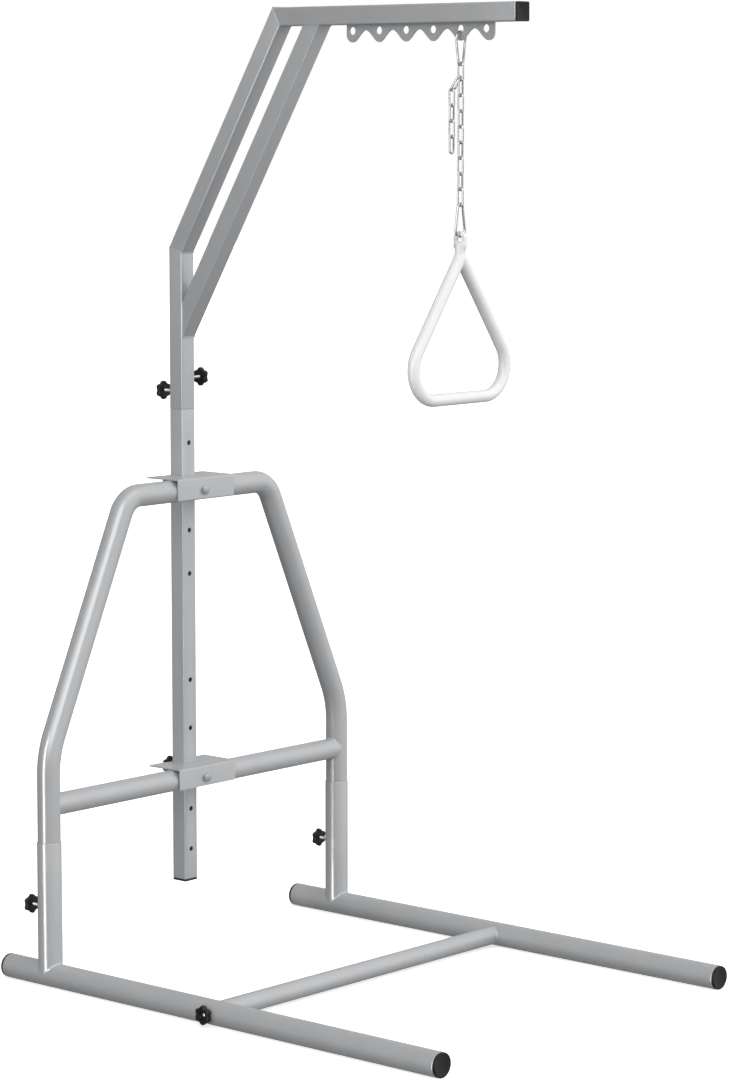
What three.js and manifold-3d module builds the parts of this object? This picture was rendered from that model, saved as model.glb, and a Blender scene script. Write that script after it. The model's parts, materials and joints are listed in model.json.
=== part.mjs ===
// A bed trapeze: a free-standing floor stand, a hoop frame, a height-adjustable square mast and a boom
// from which a triangular handle hangs on a chain.
// Millimetres, +Z up. The origin is on the floor at the middle of the stand, and the boom reaches to -Y.

import * as THREE from "three";
import { mergeVertices } from "three/addons/utils/BufferGeometryUtils.js";
import Module from "manifold-3d";

const wasm = await Module();
wasm.setup();

// Clearances
const seatGap = 0.3; // between faces that touch on the real object
const cutOverrun = 4; // how far a cutting body runs past what it cuts
const vertexTolerance = 0.001; // vertices closer than this are one
const leastCornerShare = 0.25; // of the wall: smallest corner radius of a square bore

// Floor stand
const floorTubeDiameter = 50;
const floorTubeWall = 1.5;
const floorTubeLength = 1170;
const floorTubeSpacing = 886; // from axis to axis
const floorCapDepth = 18;
const floorCapProud = 3;
const socketWall = 1.2;
const socketTop = 303;
const socketInset = 119; // from the rear end of a floor tube to the plane of the hoop
const socketKnobHeight = 166;
const socketKnobStandoff = 23; // bare stud between the socket and its knob
const crossbarDiameter = 38.5;
const crossbarWall = 1.5;
const endNutThickness = 8;
const crossbarKnobStandoff = 0.6;

// Hoop frame
const hoopDiameter = 47.5;
const hoopWall = 2;
const hoopKneeHeight = 484.4; // where the lines of leg and slanted side cross
const hoopKneeRadius = 200;
const hoopTopHeight = 996.5; // axis of the top bar
const hoopTopHalfWidth = 212.5; // to where the lines of slanted side and top bar cross
const hoopTopRadius = 57;
const hoopCrossbarDiameter = 45.5;
const hoopCrossbarHeight = 378.2;

// Brackets that hold the mast on the hoop
const bracketWidth = 170;
const bracketWall = 2.5;
const bracketFoldRadius = 3.5; // outside
const bracketDrop = 18; // lower edges of flange and tab below the axis of the round tube
const bracketTabWidth = 76; // of the tab folded down behind the mast
const bracketSlit = 2; // on each side of the tab
const bracketKnobRise = 12.1; // of the lower bracket's knob above the axis of the crossbar
const bracketKnobStandoff = 16.2;
const boltThread = 10;
const boltHeadAcrossFlats = 17;
const boltHeadHeight = 6.4;
const boltNutAcrossFlats = 17;
const boltNutHeight = 8;
const boltPastNut = 2;
const boltOffset = 5; // to the left of the bracket's middle

// Mast
const mastSide = 38;
const mastWall = 2;
const mastCornerRadius = 3;
const mastRise = 167.8; // from the axis of the hoop's top bar to the mast's top
const mastRunningClearance = 1; // between the mast and the bracket behind it
const mastHoleDiameter = 10.5;
const lowestHoleRise = 64.8; // above the mast's bottom
const lowerHolePitch = 88;
const lowerHoleCount = 4;
const loneHoleRise = 104.7; // of a hole by itself above the lower group
const knobHole = 2; // of the lower group, counted from its lowest, which is 0: the bracket knob enters it
const topHoleDrop = 71.4; // of the highest hole below the mast's top
const upperHolePitch = 93.5;
const upperHoleCount = 4;
const mastPlugFlange = 4.5;
const plugDepth = 14;
const spigotInMast = 59.3;
const spigotInBoom = 109.7;
const spigotWall = 2;

// Boom
const uprightLength = 336.7; // from the mast's top to where the lines of upright and diagonal cross
const boomLean = THREE.MathUtils.degToRad(31.1); // of the diagonal from the vertical
const diagonalRise = 482.2; // from there up to the axis of the arm
const armLength = 632.2; // from where the lines of diagonal and arm cross to the front end
const endCapFlange = 4.5;
const braceOffset = 92.4; // between the axes of diagonal and brace
const braceCornerRadius = 1.2;
const rearKnobRise = 37.1; // above the mast's top
const rearKnobStandoff = 31;
const sideKnobRise = 65.6;
const sideKnobStandoff = 32.7;

// Hanger plate under the arm
const plateThickness = 4;
const plateSetback = 178.77; // from where the lines of diagonal and arm cross to its rear end
const plateHoleDiameter = 16;
const plateHoleDrop = 11.9; // from its upper edge
const plateHolePitch = 70.4;
const plateHoleCount = 6;
const plateEndMargin = 15.4; // from each end to the middle of the nearest lobe, and the end's corner radius
const frontHoleShift = 5.7; // of the front hole towards the mast, from the middle of its lobe
const plateLobeDepth = 34.8; // under a hole
const plateValleyDepth = 11.2; // between two holes
const carabinerHole = 4; // counted from the hole nearest the mast, which is 0

// Star knobs
const knobTipRadius = 20;
const knobValleyDepth = 3.6;
const knobLobes = 6;
const knobThickness = 10.5;
const knobEdgeRadius = 3;
const knobDishDiameter = 18;
const knobDishDepth = 4.5; // down to the end of the insert
const insertDiameter = 9;
const insertCover = 2; // of plastic between the insert and the inner face
const studDiameter = 6.4;

// Carabiners
const carabinerWire = 5;
const carabinerLength = 70;
const wideRadius = 14; // of the wire's centreline round the wide end
const narrowRadius = 7.5;
const hingeShare = 0.1; // place of the gate's pin on the straight side, from its narrow end
const noseShare = 0.85; // place of the gate's free end on it
const hingeWireSetback = 4; // from the pin back to the end of the thick wire
const tongueThickness = 1.6;
const tongueReach = 2; // past the pin
const earReach = 2.2; // of the gate past the pin
const slotReach = 3.4; // of the slot in the gate beyond the pin
const pinDiameter = 1.6;

// Chain
const linkWire = 4;
const linkWidth = 16;
const linkPitch = 30.6;
const mainLinkCount = 9;
const tailLinkCount = 5;
const tailSlant = THREE.MathUtils.degToRad(37); // of the first tail link from the vertical
const tailOffset = 1.7; // of its upper wire behind the middle of the first link

// Handle
const gripDiameter = 25;
const gripCornerRadius = 61.5;
const gripHalfBar = 79; // from the middle of the bar to the start of its corners
const gripLean = THREE.MathUtils.degToRad(35.4); // of the sides from the vertical
const gripDrop = 318.9; // from the wire of the lower carabiner to the axis of the bar
const eyeNeckDiameter = 22.4;
const eyeNeckHeight = 22;
const eyeWidth = 30;
const eyeThickness = 7;
const eyeHoleDiameter = 14;

// Facets of round shapes
const tubeSides = 24;
const gripSides = 16;
const wireSides = 8;
const linkSides = 8;
const holeSides = 12;
const cornerSteps = 3;
const bendStep = THREE.MathUtils.degToRad(12);
const linkBendSteps = 4;
const wireBendStep = THREE.MathUtils.degToRad(18);
const knobSides = 36;
const knobEdgeSteps = 2;
const scallopSteps = 8; // for each wave of the hanger plate's edge
const hexSides = 6;
const fullTurn = 2 * Math.PI;
const quarterTurn = fullTurn / 4;

// Sizes that follow from the ones above
const floorTubeRadius = floorTubeDiameter / 2;
const floorAxisHeight = floorTubeRadius * Math.cos(Math.PI / tubeSides); // a facet lies on the floor
const floorAxis = floorTubeSpacing / 2;
const socketSetback = floorTubeLength / 2 - socketInset;
const hoopRadius = hoopDiameter / 2;
const socketBoreRadius = hoopRadius + seatGap;
const socketRadius = socketBoreRadius + socketWall;
const hoopFoot = floorAxisHeight + floorTubeRadius + seatGap;
const mastAxis = socketSetback + hoopRadius + seatGap + mastSide / 2;
const mastBore = mastSide - 2 * mastWall;
const studRadius = studDiameter / 2;
const studHoleRadius = studRadius + seatGap;
const bracketFront = socketSetback - hoopRadius - seatGap;
const bracketRear = mastAxis + mastSide / 2 + mastRunningClearance;
const bracketKnobHeight = hoopCrossbarHeight + bracketKnobRise;
const lowestHole = bracketKnobHeight - knobHole * lowerHolePitch;
const loneHole = lowestHole + (lowerHoleCount - 1) * lowerHolePitch + loneHoleRise;
const mastBottom = lowestHole - lowestHoleRise;
const mastTop = hoopTopHeight + mastRise;
const topHole = mastTop - topHoleDrop;
const boomBendHeight = mastTop + uprightLength;
const armAxisHeight = boomBendHeight + diagonalRise;
const boomCorner = mastAxis - diagonalRise * Math.tan(boomLean);
const armFront = boomCorner - armLength;
const rearKnobHeight = mastTop + rearKnobRise;
const sideKnobHeight = mastTop + sideKnobRise;
const plateTop = armAxisHeight - mastSide / 2 - seatGap;
const plateRear = boomCorner - plateSetback;
const plateRearLobe = plateRear - plateEndMargin;
const plateFrontLobe = plateRearLobe - (plateHoleCount - 1) * plateHolePitch;
const plateFront = plateFrontLobe - plateEndMargin;
const plateHoleHeight = plateTop - plateHoleDrop;

// Materials
const silverPaint = new THREE.MeshStandardMaterial({ color: 0xa5a6a8, roughness: 0.42, metalness: 0.25 });
const blackPlastic = new THREE.MeshStandardMaterial({ color: 0x161616, roughness: 0.5, metalness: 0 });
const brightZinc = new THREE.MeshStandardMaterial({ color: 0xc6c8ca, roughness: 0.25, metalness: 1 });
const whitePlastic = new THREE.MeshStandardMaterial({ color: 0xe6e6e6, roughness: 0.3, metalness: 0 });

const vec = (x, y, z) => new THREE.Vector3(x, y, z);
const xAxis = vec(1, 0, 0);
const yAxis = vec(0, 1, 0);
const zAxis = vec(0, 0, 1);

// A solid for cutting and joining, from a closed geometry.
function solidOf(geometry) {
  const bare = new THREE.BufferGeometry();
  const loose = geometry.index ? geometry.toNonIndexed() : geometry;
  bare.setAttribute("position", loose.getAttribute("position"));
  const merged = mergeVertices(bare, vertexTolerance);
  const vertProperties = merged.getAttribute("position").array;
  const triVerts = new Uint32Array(merged.index.array);
  return new wasm.Manifold(new wasm.Mesh({ numProp: 3, vertProperties, triVerts }));
}

// A geometry with flat faces, from a solid.
function geometryOf(solid) {
  const { numProp, numVert, vertProperties, triVerts } = solid.getMesh();
  const positions = new Float32Array(numVert * 3);
  for (let i = 0; i < numVert; i += 1) {
    positions.set(vertProperties.subarray(i * numProp, i * numProp + 3), i * 3);
  }
  const indexed = new THREE.BufferGeometry();
  indexed.setAttribute("position", new THREE.BufferAttribute(positions, 3));
  indexed.setIndex(new THREE.BufferAttribute(triVerts, 1));
  const geometry = indexed.toNonIndexed();
  geometry.computeVertexNormals();
  return geometry;
}

// The first geometry without the space of the others.
function without(geometry, ...cutters) {
  return geometryOf(cutters.reduce((solid, cutter) => solid.subtract(solidOf(cutter)), solidOf(geometry)));
}

// All the geometries as one body.
function joined(...geometries) {
  return geometryOf(geometries.map(solidOf).reduce((whole, solid) => whole.add(solid)));
}

// Points of a regular polygon; turnShare turns it by a share of one side.
function polygonPoints(radius, sides, turnShare = 0) {
  return Array.from({ length: sides }, (_, i) => {
    const angle = ((i + turnShare) / sides) * fullTurn;
    return new THREE.Vector2(radius * Math.cos(angle), radius * Math.sin(angle));
  });
}

// Points of a square with rounded corners.
function squarePoints(side, radius) {
  const points = [];
  for (let corner = 0; corner < 4; corner += 1) {
    const middle = (corner + 0.5) * quarterTurn;
    const centre = new THREE.Vector2(Math.sign(Math.cos(middle)), Math.sign(Math.sin(middle)));
    centre.multiplyScalar(side / 2 - radius);
    for (let step = 0; step <= cornerSteps; step += 1) {
      const angle = (corner + step / cornerSteps) * quarterTurn;
      points.push(new THREE.Vector2(radius * Math.cos(angle), radius * Math.sin(angle)).add(centre));
    }
  }
  return points;
}

// A section from its outline, and from the outline of its bore where it has one.
function section(outline, bore) {
  const shape = new THREE.Shape(outline);
  if (bore) shape.holes.push(new THREE.Path(bore));
  return shape;
}

// Half a side of turn puts a facet square to each axis.
function roundSection(radius, boreRadius, sides = tubeSides) {
  return section(polygonPoints(radius, sides, 0.5), boreRadius && polygonPoints(boreRadius, sides, 0.5));
}

function squareSection(side, wall, radius) {
  const boreRadius = Math.max(radius - wall, leastCornerShare * wall);
  return section(squarePoints(side, radius), squarePoints(side - 2 * wall, boreRadius));
}

// A section carried straight from one point to another, its own x along sideways.
function prism(shape, from, to, sideways = Math.abs(to.x - from.x) > Math.abs(to.z - from.z) ? yAxis : xAxis) {
  const along = to.clone().sub(from);
  const geometry = new THREE.ExtrudeGeometry(shape, { depth: along.length(), steps: 1, bevelEnabled: false });
  along.normalize();
  const upright = along.clone().cross(sideways).normalize();
  geometry.applyMatrix4(new THREE.Matrix4().makeBasis(sideways, upright, along).setPosition(from));
  return geometry;
}

// A round bar that cuts a hole or saddle, or is one.
function bar(radius, from, to, sides = holeSides) {
  return prism(roundSection(radius, 0, sides), from, to);
}

// A section carried straight between two points and cut there by planes with the given normals.
function mitredTube(shape, from, to, startNormal, endNormal) {
  const along = to.clone().sub(from).normalize();
  const upright = along.clone().cross(xAxis);
  const geometry = new THREE.ExtrudeGeometry(shape, { depth: 1, steps: 1, bevelEnabled: false });
  const position = geometry.getAttribute("position");
  for (let i = 0; i < position.count; i += 1) {
    const atEnd = position.getZ(i) > 0.5;
    const base = atEnd ? to : from;
    const normal = atEnd ? endNormal : startNormal;
    const offset = xAxis.clone().multiplyScalar(position.getX(i));
    offset.addScaledVector(upright, position.getY(i));
    offset.addScaledVector(along, -offset.dot(normal) / along.dot(normal));
    position.setXYZ(i, base.x + offset.x, base.y + offset.y, base.z + offset.z);
  }
  return geometry;
}

// A curve through stations, each a point with its tangent, on which a sweep puts one section each.
class StationCurve extends THREE.Curve {
  constructor(stations, closed = false) {
    super();
    this.stations = stations;
    this.spans = closed ? stations.length : stations.length - 1;
  }

  station(u) {
    return this.stations[Math.round(u * this.spans) % this.stations.length];
  }

  getUtoTmapping(u) {
    return u;
  }

  getPoint(t, target = vec(0, 0, 0)) {
    return target.copy(this.station(t).point);
  }

  getTangent(t, target = vec(0, 0, 0)) {
    return target.copy(this.station(t).tangent);
  }
}

// Stations of straight runs between points, with each inner point rounded by an arc of its radius.
function roundedRoute(points, radii) {
  const stations = [];
  points.forEach((point, i) => {
    const before = i > 0 && point.clone().sub(points[i - 1]).normalize();
    const after = i < points.length - 1 && points[i + 1].clone().sub(point).normalize();
    if (!before || !after) {
      stations.push({ point, tangent: before || after });
      return;
    }
    const turn = before.angleTo(after);
    const radius = radii[i];
    const start = point.clone().addScaledVector(before, -radius * Math.tan(turn / 2));
    const inward = after.clone().addScaledVector(before, -Math.cos(turn)).normalize();
    const steps = Math.ceil(turn / bendStep);
    for (let step = 0; step <= steps; step += 1) {
      const angle = (turn * step) / steps;
      const place = start.clone().addScaledVector(before, radius * Math.sin(angle));
      place.addScaledVector(inward, radius * (1 - Math.cos(angle)));
      const tangent = before.clone().multiplyScalar(Math.cos(angle)).addScaledVector(inward, Math.sin(angle));
      stations.push({ point: place, tangent });
    }
  });
  return stations;
}

// Stations of an arc in the XZ plane, anticlockwise seen from -Y.
function arcStations(centreHeight, radius, fromAngle, toAngle, steps) {
  return Array.from({ length: steps + 1 }, (_, i) => {
    const angle = fromAngle + ((toAngle - fromAngle) * i) / steps;
    const point = vec(radius * Math.cos(angle), 0, centreHeight + radius * Math.sin(angle));
    return { point, tangent: vec(-Math.sin(angle), 0, Math.cos(angle)) };
  });
}

// A section swept along stations.
function sweep(shape, stations) {
  const extrudePath = new StationCurve(stations);
  return new THREE.ExtrudeGeometry(shape, { steps: stations.length - 1, extrudePath, bevelEnabled: false });
}

// Adds a named mesh to a group and returns it.
function addPiece(group, name, geometry, material) {
  const mesh = new THREE.Mesh(geometry, material);
  mesh.name = name;
  group.add(mesh);
  return mesh;
}

const trapeze = new THREE.Group();

// Star knob along +Z: the inner face is at zero, and its stud reaches back from there by its bare length.
function knobGeometry() {
  const outline = Array.from({ length: knobSides }, (_, i) => {
    const angle = (i / knobSides) * fullTurn;
    const radius = knobTipRadius - (knobValleyDepth * (1 - Math.cos(knobLobes * angle))) / 2;
    return new THREE.Vector2(radius * Math.sin(-angle), radius * Math.cos(angle));
  });
  const star = new THREE.ExtrudeGeometry(section(outline), {
    depth: knobThickness - 2 * knobEdgeRadius,
    steps: 1,
    bevelThickness: knobEdgeRadius,
    bevelSize: knobEdgeRadius,
    bevelOffset: -knobEdgeRadius,
    bevelSegments: knobEdgeSteps,
  });
  star.translate(0, 0, knobEdgeRadius);
  const below = vec(0, 0, -cutOverrun);
  const above = vec(0, 0, knobThickness + cutOverrun);
  return without(
    star,
    bar(studHoleRadius, below, above),
    bar(insertDiameter / 2 + seatGap, vec(0, 0, insertCover - seatGap), above),
    bar(knobDishDiameter / 2, vec(0, 0, knobThickness - knobDishDepth), above),
  );
}

function studGeometry(bareLength) {
  const insertRadius = insertDiameter / 2;
  const profile = [
    new THREE.Vector2(0, -bareLength),
    new THREE.Vector2(studRadius, -bareLength),
    new THREE.Vector2(studRadius, insertCover),
    new THREE.Vector2(insertRadius, insertCover),
    new THREE.Vector2(insertRadius, knobThickness - knobDishDepth),
    new THREE.Vector2(0, knobThickness - knobDishDepth),
  ];
  return new THREE.LatheGeometry(profile, holeSides).rotateX(quarterTurn);
}

// A knob and its stud that point from a face along an outward axis, with a lobe up.
function addKnob(name, face, outward, standoff, studPastFace) {
  const holder = new THREE.Group();
  const sideways = zAxis.clone().cross(outward);
  holder.quaternion.setFromRotationMatrix(new THREE.Matrix4().makeBasis(sideways, zAxis, outward));
  holder.position.copy(face).addScaledVector(outward, standoff);
  addPiece(holder, `${name}_knob`, knobGeometry(), blackPlastic);
  addPiece(holder, `${name}_stud`, studGeometry(standoff + studPastFace), brightZinc);
  trapeze.add(holder);
}

// Round plug of a floor tube end along +Z, its seat at zero.
function floorCapGeometry() {
  const radius = floorTubeRadius - floorTubeWall - seatGap;
  const profile = [new THREE.Vector2(0, -floorCapDepth), new THREE.Vector2(radius, -floorCapDepth)];
  for (let step = 0; step <= cornerSteps; step += 1) {
    const angle = (step / cornerSteps) * quarterTurn;
    const edge = radius - floorCapProud;
    profile.push(new THREE.Vector2(edge + floorCapProud * Math.cos(angle), floorCapProud * Math.sin(angle)));
  }
  profile.push(new THREE.Vector2(0, floorCapProud));
  return new THREE.LatheGeometry(profile, tubeSides).rotateX(quarterTurn);
}

// Square plug along +Z: its flange from zero outwards and its body inside a tube.
function squarePlug(flangeThickness) {
  const body = section(squarePoints(mastBore - 2 * seatGap, mastWall));
  const flange = section(squarePoints(mastSide, mastCornerRadius));
  return joined(
    prism(body, vec(0, 0, -plugDepth), vec(0, 0, flangeThickness / 2)),
    prism(flange, vec(0, 0, 0), vec(0, 0, flangeThickness)),
  );
}

// Floor stand
const floorTubeLine = (side, radius, overrun) =>
  bar(
    radius,
    vec(side * floorAxis, -floorTubeLength / 2 - overrun, floorAxisHeight),
    vec(side * floorAxis, floorTubeLength / 2 + overrun, floorAxisHeight),
    tubeSides,
  );

for (const [sideName, side] of [["left", -1], ["right", 1]]) {
  let floorTube = prism(
    roundSection(floorTubeRadius, floorTubeRadius - floorTubeWall),
    vec(side * floorAxis, -floorTubeLength / 2, floorAxisHeight),
    vec(side * floorAxis, floorTubeLength / 2, floorAxisHeight),
  );
  if (side < 0) {
    const crossing = floorTubeRadius + cutOverrun;
    const outer = vec(-floorAxis - crossing, 0, floorAxisHeight);
    floorTube = without(floorTube, bar(studHoleRadius, outer, vec(-floorAxis + crossing, 0, floorAxisHeight)));
  }
  addPiece(trapeze, `${sideName}_floor_tube`, floorTube, silverPaint);

  for (const [endName, end] of [["front", -1], ["rear", 1]]) {
    const cap = addPiece(trapeze, `${sideName}_${endName}_cap`, floorCapGeometry(), blackPlastic);
    cap.position.set(side * floorAxis, (end * floorTubeLength) / 2, floorAxisHeight);
    cap.rotation.x = -end * quarterTurn;
  }

  const socketFoot = vec(side * floorAxis, socketSetback, floorAxisHeight);
  const socketHead = vec(side * floorAxis, socketSetback, socketTop);
  const knobCentre = vec(side * floorAxis, socketSetback, socketKnobHeight);
  const knobSide = vec(side * floorAxis, socketSetback + socketRadius + cutOverrun, socketKnobHeight);
  const socket = without(
    prism(roundSection(socketRadius, socketBoreRadius), socketFoot, socketHead),
    floorTubeLine(side, floorTubeRadius + seatGap, cutOverrun),
    bar(studHoleRadius, knobCentre, knobSide),
  );
  addPiece(trapeze, `${sideName}_socket`, socket, silverPaint);
  const socketFace = vec(side * floorAxis, socketSetback + socketRadius, socketKnobHeight);
  addKnob(`${sideName}_socket`, socketFace, yAxis, socketKnobStandoff, socketWall);
}

const crossbarRadius = crossbarDiameter / 2;
const crossbarBore = crossbarRadius - crossbarWall;
const baseCrossbar = without(
  prism(
    roundSection(crossbarRadius, crossbarBore),
    vec(-floorAxis, 0, floorAxisHeight),
    vec(floorAxis, 0, floorAxisHeight),
  ),
  floorTubeLine(-1, floorTubeRadius + seatGap, cutOverrun),
  floorTubeLine(1, floorTubeRadius + seatGap, cutOverrun),
);
addPiece(trapeze, "base_crossbar", baseCrossbar, silverPaint);

const endNutOuter = -floorAxis + floorTubeRadius + seatGap;
const endNut = prism(
  roundSection(crossbarBore - seatGap, studHoleRadius),
  vec(endNutOuter, 0, floorAxisHeight),
  vec(endNutOuter + endNutThickness, 0, floorAxisHeight),
);
addPiece(trapeze, "crossbar_end_nut", endNut, brightZinc);
const crossbarFace = vec(-floorAxis - floorTubeRadius, 0, floorAxisHeight);
const crossbarStudReach = floorTubeDiameter + seatGap + endNutThickness;
addKnob("crossbar", crossbarFace, vec(-1, 0, 0), crossbarKnobStandoff, crossbarStudReach);

// Hoop
const hoopPoint = (x, z) => vec(x, socketSetback, z);
const hoopStations = roundedRoute(
  [
    hoopPoint(-floorAxis, hoopFoot),
    hoopPoint(-floorAxis, hoopKneeHeight),
    hoopPoint(-hoopTopHalfWidth, hoopTopHeight),
    hoopPoint(hoopTopHalfWidth, hoopTopHeight),
    hoopPoint(floorAxis, hoopKneeHeight),
    hoopPoint(floorAxis, hoopFoot),
  ],
  [0, hoopKneeRadius, hoopTopRadius, hoopTopRadius, hoopKneeRadius, 0],
);
const boltRadius = boltThread / 2;
const boltHole = (height) =>
  bar(
    boltRadius + seatGap,
    hoopPoint(-boltOffset, height),
    vec(-boltOffset, bracketFront - bracketWall - cutOverrun, height),
  );
const hoopTube = without(
  sweep(roundSection(hoopRadius, hoopRadius - hoopWall), hoopStations),
  boltHole(hoopTopHeight),
);
addPiece(trapeze, "hoop_tube", hoopTube, silverPaint);

const hoopCrossbarRadius = hoopCrossbarDiameter / 2;
const hoopLegLine = (side) =>
  bar(
    hoopRadius + seatGap,
    hoopPoint(side * floorAxis, hoopCrossbarHeight - hoopDiameter),
    hoopPoint(side * floorAxis, hoopCrossbarHeight + hoopDiameter),
    tubeSides,
  );
const hoopCrossbar = without(
  prism(
    roundSection(hoopCrossbarRadius, hoopCrossbarRadius - hoopWall),
    hoopPoint(-floorAxis, hoopCrossbarHeight),
    hoopPoint(floorAxis, hoopCrossbarHeight),
  ),
  hoopLegLine(-1),
  hoopLegLine(1),
  boltHole(hoopCrossbarHeight),
);
addPiece(trapeze, "hoop_crossbar", hoopCrossbar, silverPaint);

// Folded sheet over a round tube: a flange in front and a narrower tab behind the mast.
function bracketGeometry(height, tubeRadius) {
  const front = bracketFront - bracketWall;
  const rear = bracketRear + bracketWall;
  const top = height + tubeRadius + seatGap + bracketWall;
  const bottom = height - bracketDrop;
  const fold = bracketFoldRadius;
  const inner = bracketFoldRadius - bracketWall;
  const outline = new THREE.Shape();
  outline.moveTo(front, bottom);
  outline.lineTo(bracketFront, bottom);
  outline.absarc(front + fold, top - fold, inner, 2 * quarterTurn, quarterTurn, true);
  outline.absarc(rear - fold, top - fold, inner, quarterTurn, 0, true);
  outline.lineTo(bracketRear, bottom);
  outline.lineTo(rear, bottom);
  outline.absarc(rear - fold, top - fold, fold, 0, quarterTurn, false);
  outline.absarc(front + fold, top - fold, fold, quarterTurn, 2 * quarterTurn, false);
  const channel = new THREE.ExtrudeGeometry(outline, {
    depth: bracketWidth,
    steps: 1,
    curveSegments: cornerSteps,
    bevelEnabled: false,
  });
  const place = new THREE.Matrix4().makeBasis(yAxis, zAxis, xAxis);
  channel.applyMatrix4(place.setPosition(-bracketWidth / 2, 0, 0));
  const windowDepth = bracketRear - (mastAxis - mastSide / 2 - seatGap);
  const mastWindow = new THREE.BoxGeometry(mastSide + 2 * seatGap, windowDepth, bracketWall + cutOverrun);
  mastWindow.translate(0, bracketRear - windowDepth / 2, top);
  const beside = (bracketWidth - bracketTabWidth) / 2;
  const notches = [-1, 1].map((side) => {
    const notch = new THREE.BoxGeometry(beside + cutOverrun, fold + cutOverrun, top - bottom + cutOverrun);
    const middle = side * (bracketTabWidth + beside + cutOverrun) / 2;
    return notch.translate(middle, rear + (cutOverrun - fold) / 2, (top + bottom) / 2);
  });
  const edges = [-1, 1].map((side) => {
    const edge = new THREE.BoxGeometry(beside - bracketSlit, 2 * fold, bracketWall);
    return edge.translate((side * (bracketWidth - beside + bracketSlit)) / 2, rear - fold, top - bracketWall / 2);
  });
  return joined(without(channel, mastWindow, boltHole(height), ...notches), ...edges);
}

const boltFace = bracketFront - bracketWall - seatGap;
function bracketBolt(nutRear, height) {
  const headRadius = boltHeadAcrossFlats / 2 / Math.cos(Math.PI / hexSides);
  const alongBolt = (y) => vec(-boltOffset, y, height);
  return joined(
    bar(headRadius, alongBolt(boltFace - boltHeadHeight), alongBolt(boltFace), hexSides),
    bar(boltRadius, alongBolt(boltFace - boltHeadHeight / 2), alongBolt(nutRear + boltPastNut)),
  );
}

for (const [name, height, tubeRadius] of [
  ["upper", hoopTopHeight, hoopRadius],
  ["lower", hoopCrossbarHeight, hoopCrossbarRadius],
]) {
  let bracket = bracketGeometry(height, tubeRadius);
  if (name === "lower") {
    const rearWall = vec(0, bracketRear - cutOverrun, bracketKnobHeight);
    const behind = vec(0, bracketRear + bracketWall + cutOverrun, bracketKnobHeight);
    bracket = without(bracket, bar(studHoleRadius, rearWall, behind));
  }
  addPiece(trapeze, `${name}_bracket`, bracket, silverPaint);
  const boreRadius = tubeRadius - hoopWall;
  const nutRadius = boltNutAcrossFlats / 2 / Math.cos(Math.PI / hexSides);
  const nutFront = socketSetback - Math.sqrt(boreRadius ** 2 - nutRadius ** 2) + 2 * seatGap;
  const nut = prism(
    section(polygonPoints(nutRadius, hexSides), polygonPoints(boltRadius + seatGap, holeSides)),
    vec(-boltOffset, nutFront, height),
    vec(-boltOffset, nutFront + boltNutHeight, height),
  );
  addPiece(trapeze, `${name}_bracket_nut`, nut, brightZinc);
  addPiece(trapeze, `${name}_bracket_bolt`, bracketBolt(nutFront + boltNutHeight, height), brightZinc);
}
const bracketKnobFace = vec(0, bracketRear + bracketWall, bracketKnobHeight);
const bracketStudReach = bracketWall + mastRunningClearance - seatGap;
addKnob("bracket", bracketKnobFace, yAxis, bracketKnobStandoff, bracketStudReach);

// Mast
const mastSection = () => squareSection(mastSide, mastWall, mastCornerRadius);
const mastHole = (height) =>
  bar(
    mastHoleDiameter / 2,
    vec(0, mastAxis - mastSide / 2 - cutOverrun, height),
    vec(0, mastAxis + mastSide / 2 + cutOverrun, height),
  );
const holeHeights = [
  ...Array.from({ length: lowerHoleCount }, (_, i) => lowestHole + i * lowerHolePitch),
  loneHole,
  ...Array.from({ length: upperHoleCount }, (_, i) => topHole - i * upperHolePitch),
];
const mastTube = without(
  prism(mastSection(), vec(0, mastAxis, mastBottom), vec(0, mastAxis, mastTop)),
  ...holeHeights.map(mastHole),
);
addPiece(trapeze, "mast_tube", mastTube, silverPaint);
const mastPlug = addPiece(trapeze, "mast_plug", squarePlug(mastPlugFlange), blackPlastic);
mastPlug.position.set(0, mastAxis, mastBottom - seatGap);
mastPlug.rotation.x = 2 * quarterTurn;

const spigotSide = mastBore - 2 * seatGap;
const spigot = prism(
  squareSection(spigotSide, spigotWall, mastCornerRadius - mastWall + seatGap),
  vec(0, mastAxis, mastTop - spigotInMast),
  vec(0, mastAxis, mastTop + spigotInBoom),
);
addPiece(trapeze, "mast_spigot", spigot, silverPaint);

// Boom
const diagonalWay = vec(0, -Math.sin(boomLean), Math.cos(boomLean));
const armWay = vec(0, -1, 0);
const bendNormal = diagonalWay.clone().add(zAxis).normalize();
const cornerNormal = diagonalWay.clone().add(armWay).normalize();
const bendPoint = vec(0, mastAxis, boomBendHeight);
const cornerPoint = vec(0, boomCorner, armAxisHeight);
const shifted = (point, way, distance) => point.clone().addScaledVector(way, distance);

const boomUpright = without(
  mitredTube(
    mastSection(),
    vec(0, mastAxis, mastTop + seatGap),
    shifted(bendPoint, zAxis, -seatGap / 2),
    zAxis,
    bendNormal,
  ),
  bar(
    studHoleRadius,
    vec(0, mastAxis, rearKnobHeight),
    vec(0, mastAxis + mastSide / 2 + cutOverrun, rearKnobHeight),
  ),
  bar(studHoleRadius, vec(0, mastAxis, sideKnobHeight), vec(mastSide / 2 + cutOverrun, mastAxis, sideKnobHeight)),
);
addPiece(trapeze, "boom_upright", boomUpright, silverPaint);
const boomDiagonal = mitredTube(
  mastSection(),
  shifted(bendPoint, diagonalWay, seatGap / 2),
  shifted(cornerPoint, diagonalWay, -seatGap / 2),
  bendNormal,
  cornerNormal,
);
addPiece(trapeze, "boom_diagonal", boomDiagonal, silverPaint);
const armTip = vec(0, armFront + endCapFlange + seatGap, armAxisHeight);
const boomArm = mitredTube(mastSection(), shifted(cornerPoint, armWay, seatGap / 2), armTip, cornerNormal, armWay);
addPiece(trapeze, "boom_arm", boomArm, silverPaint);

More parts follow.
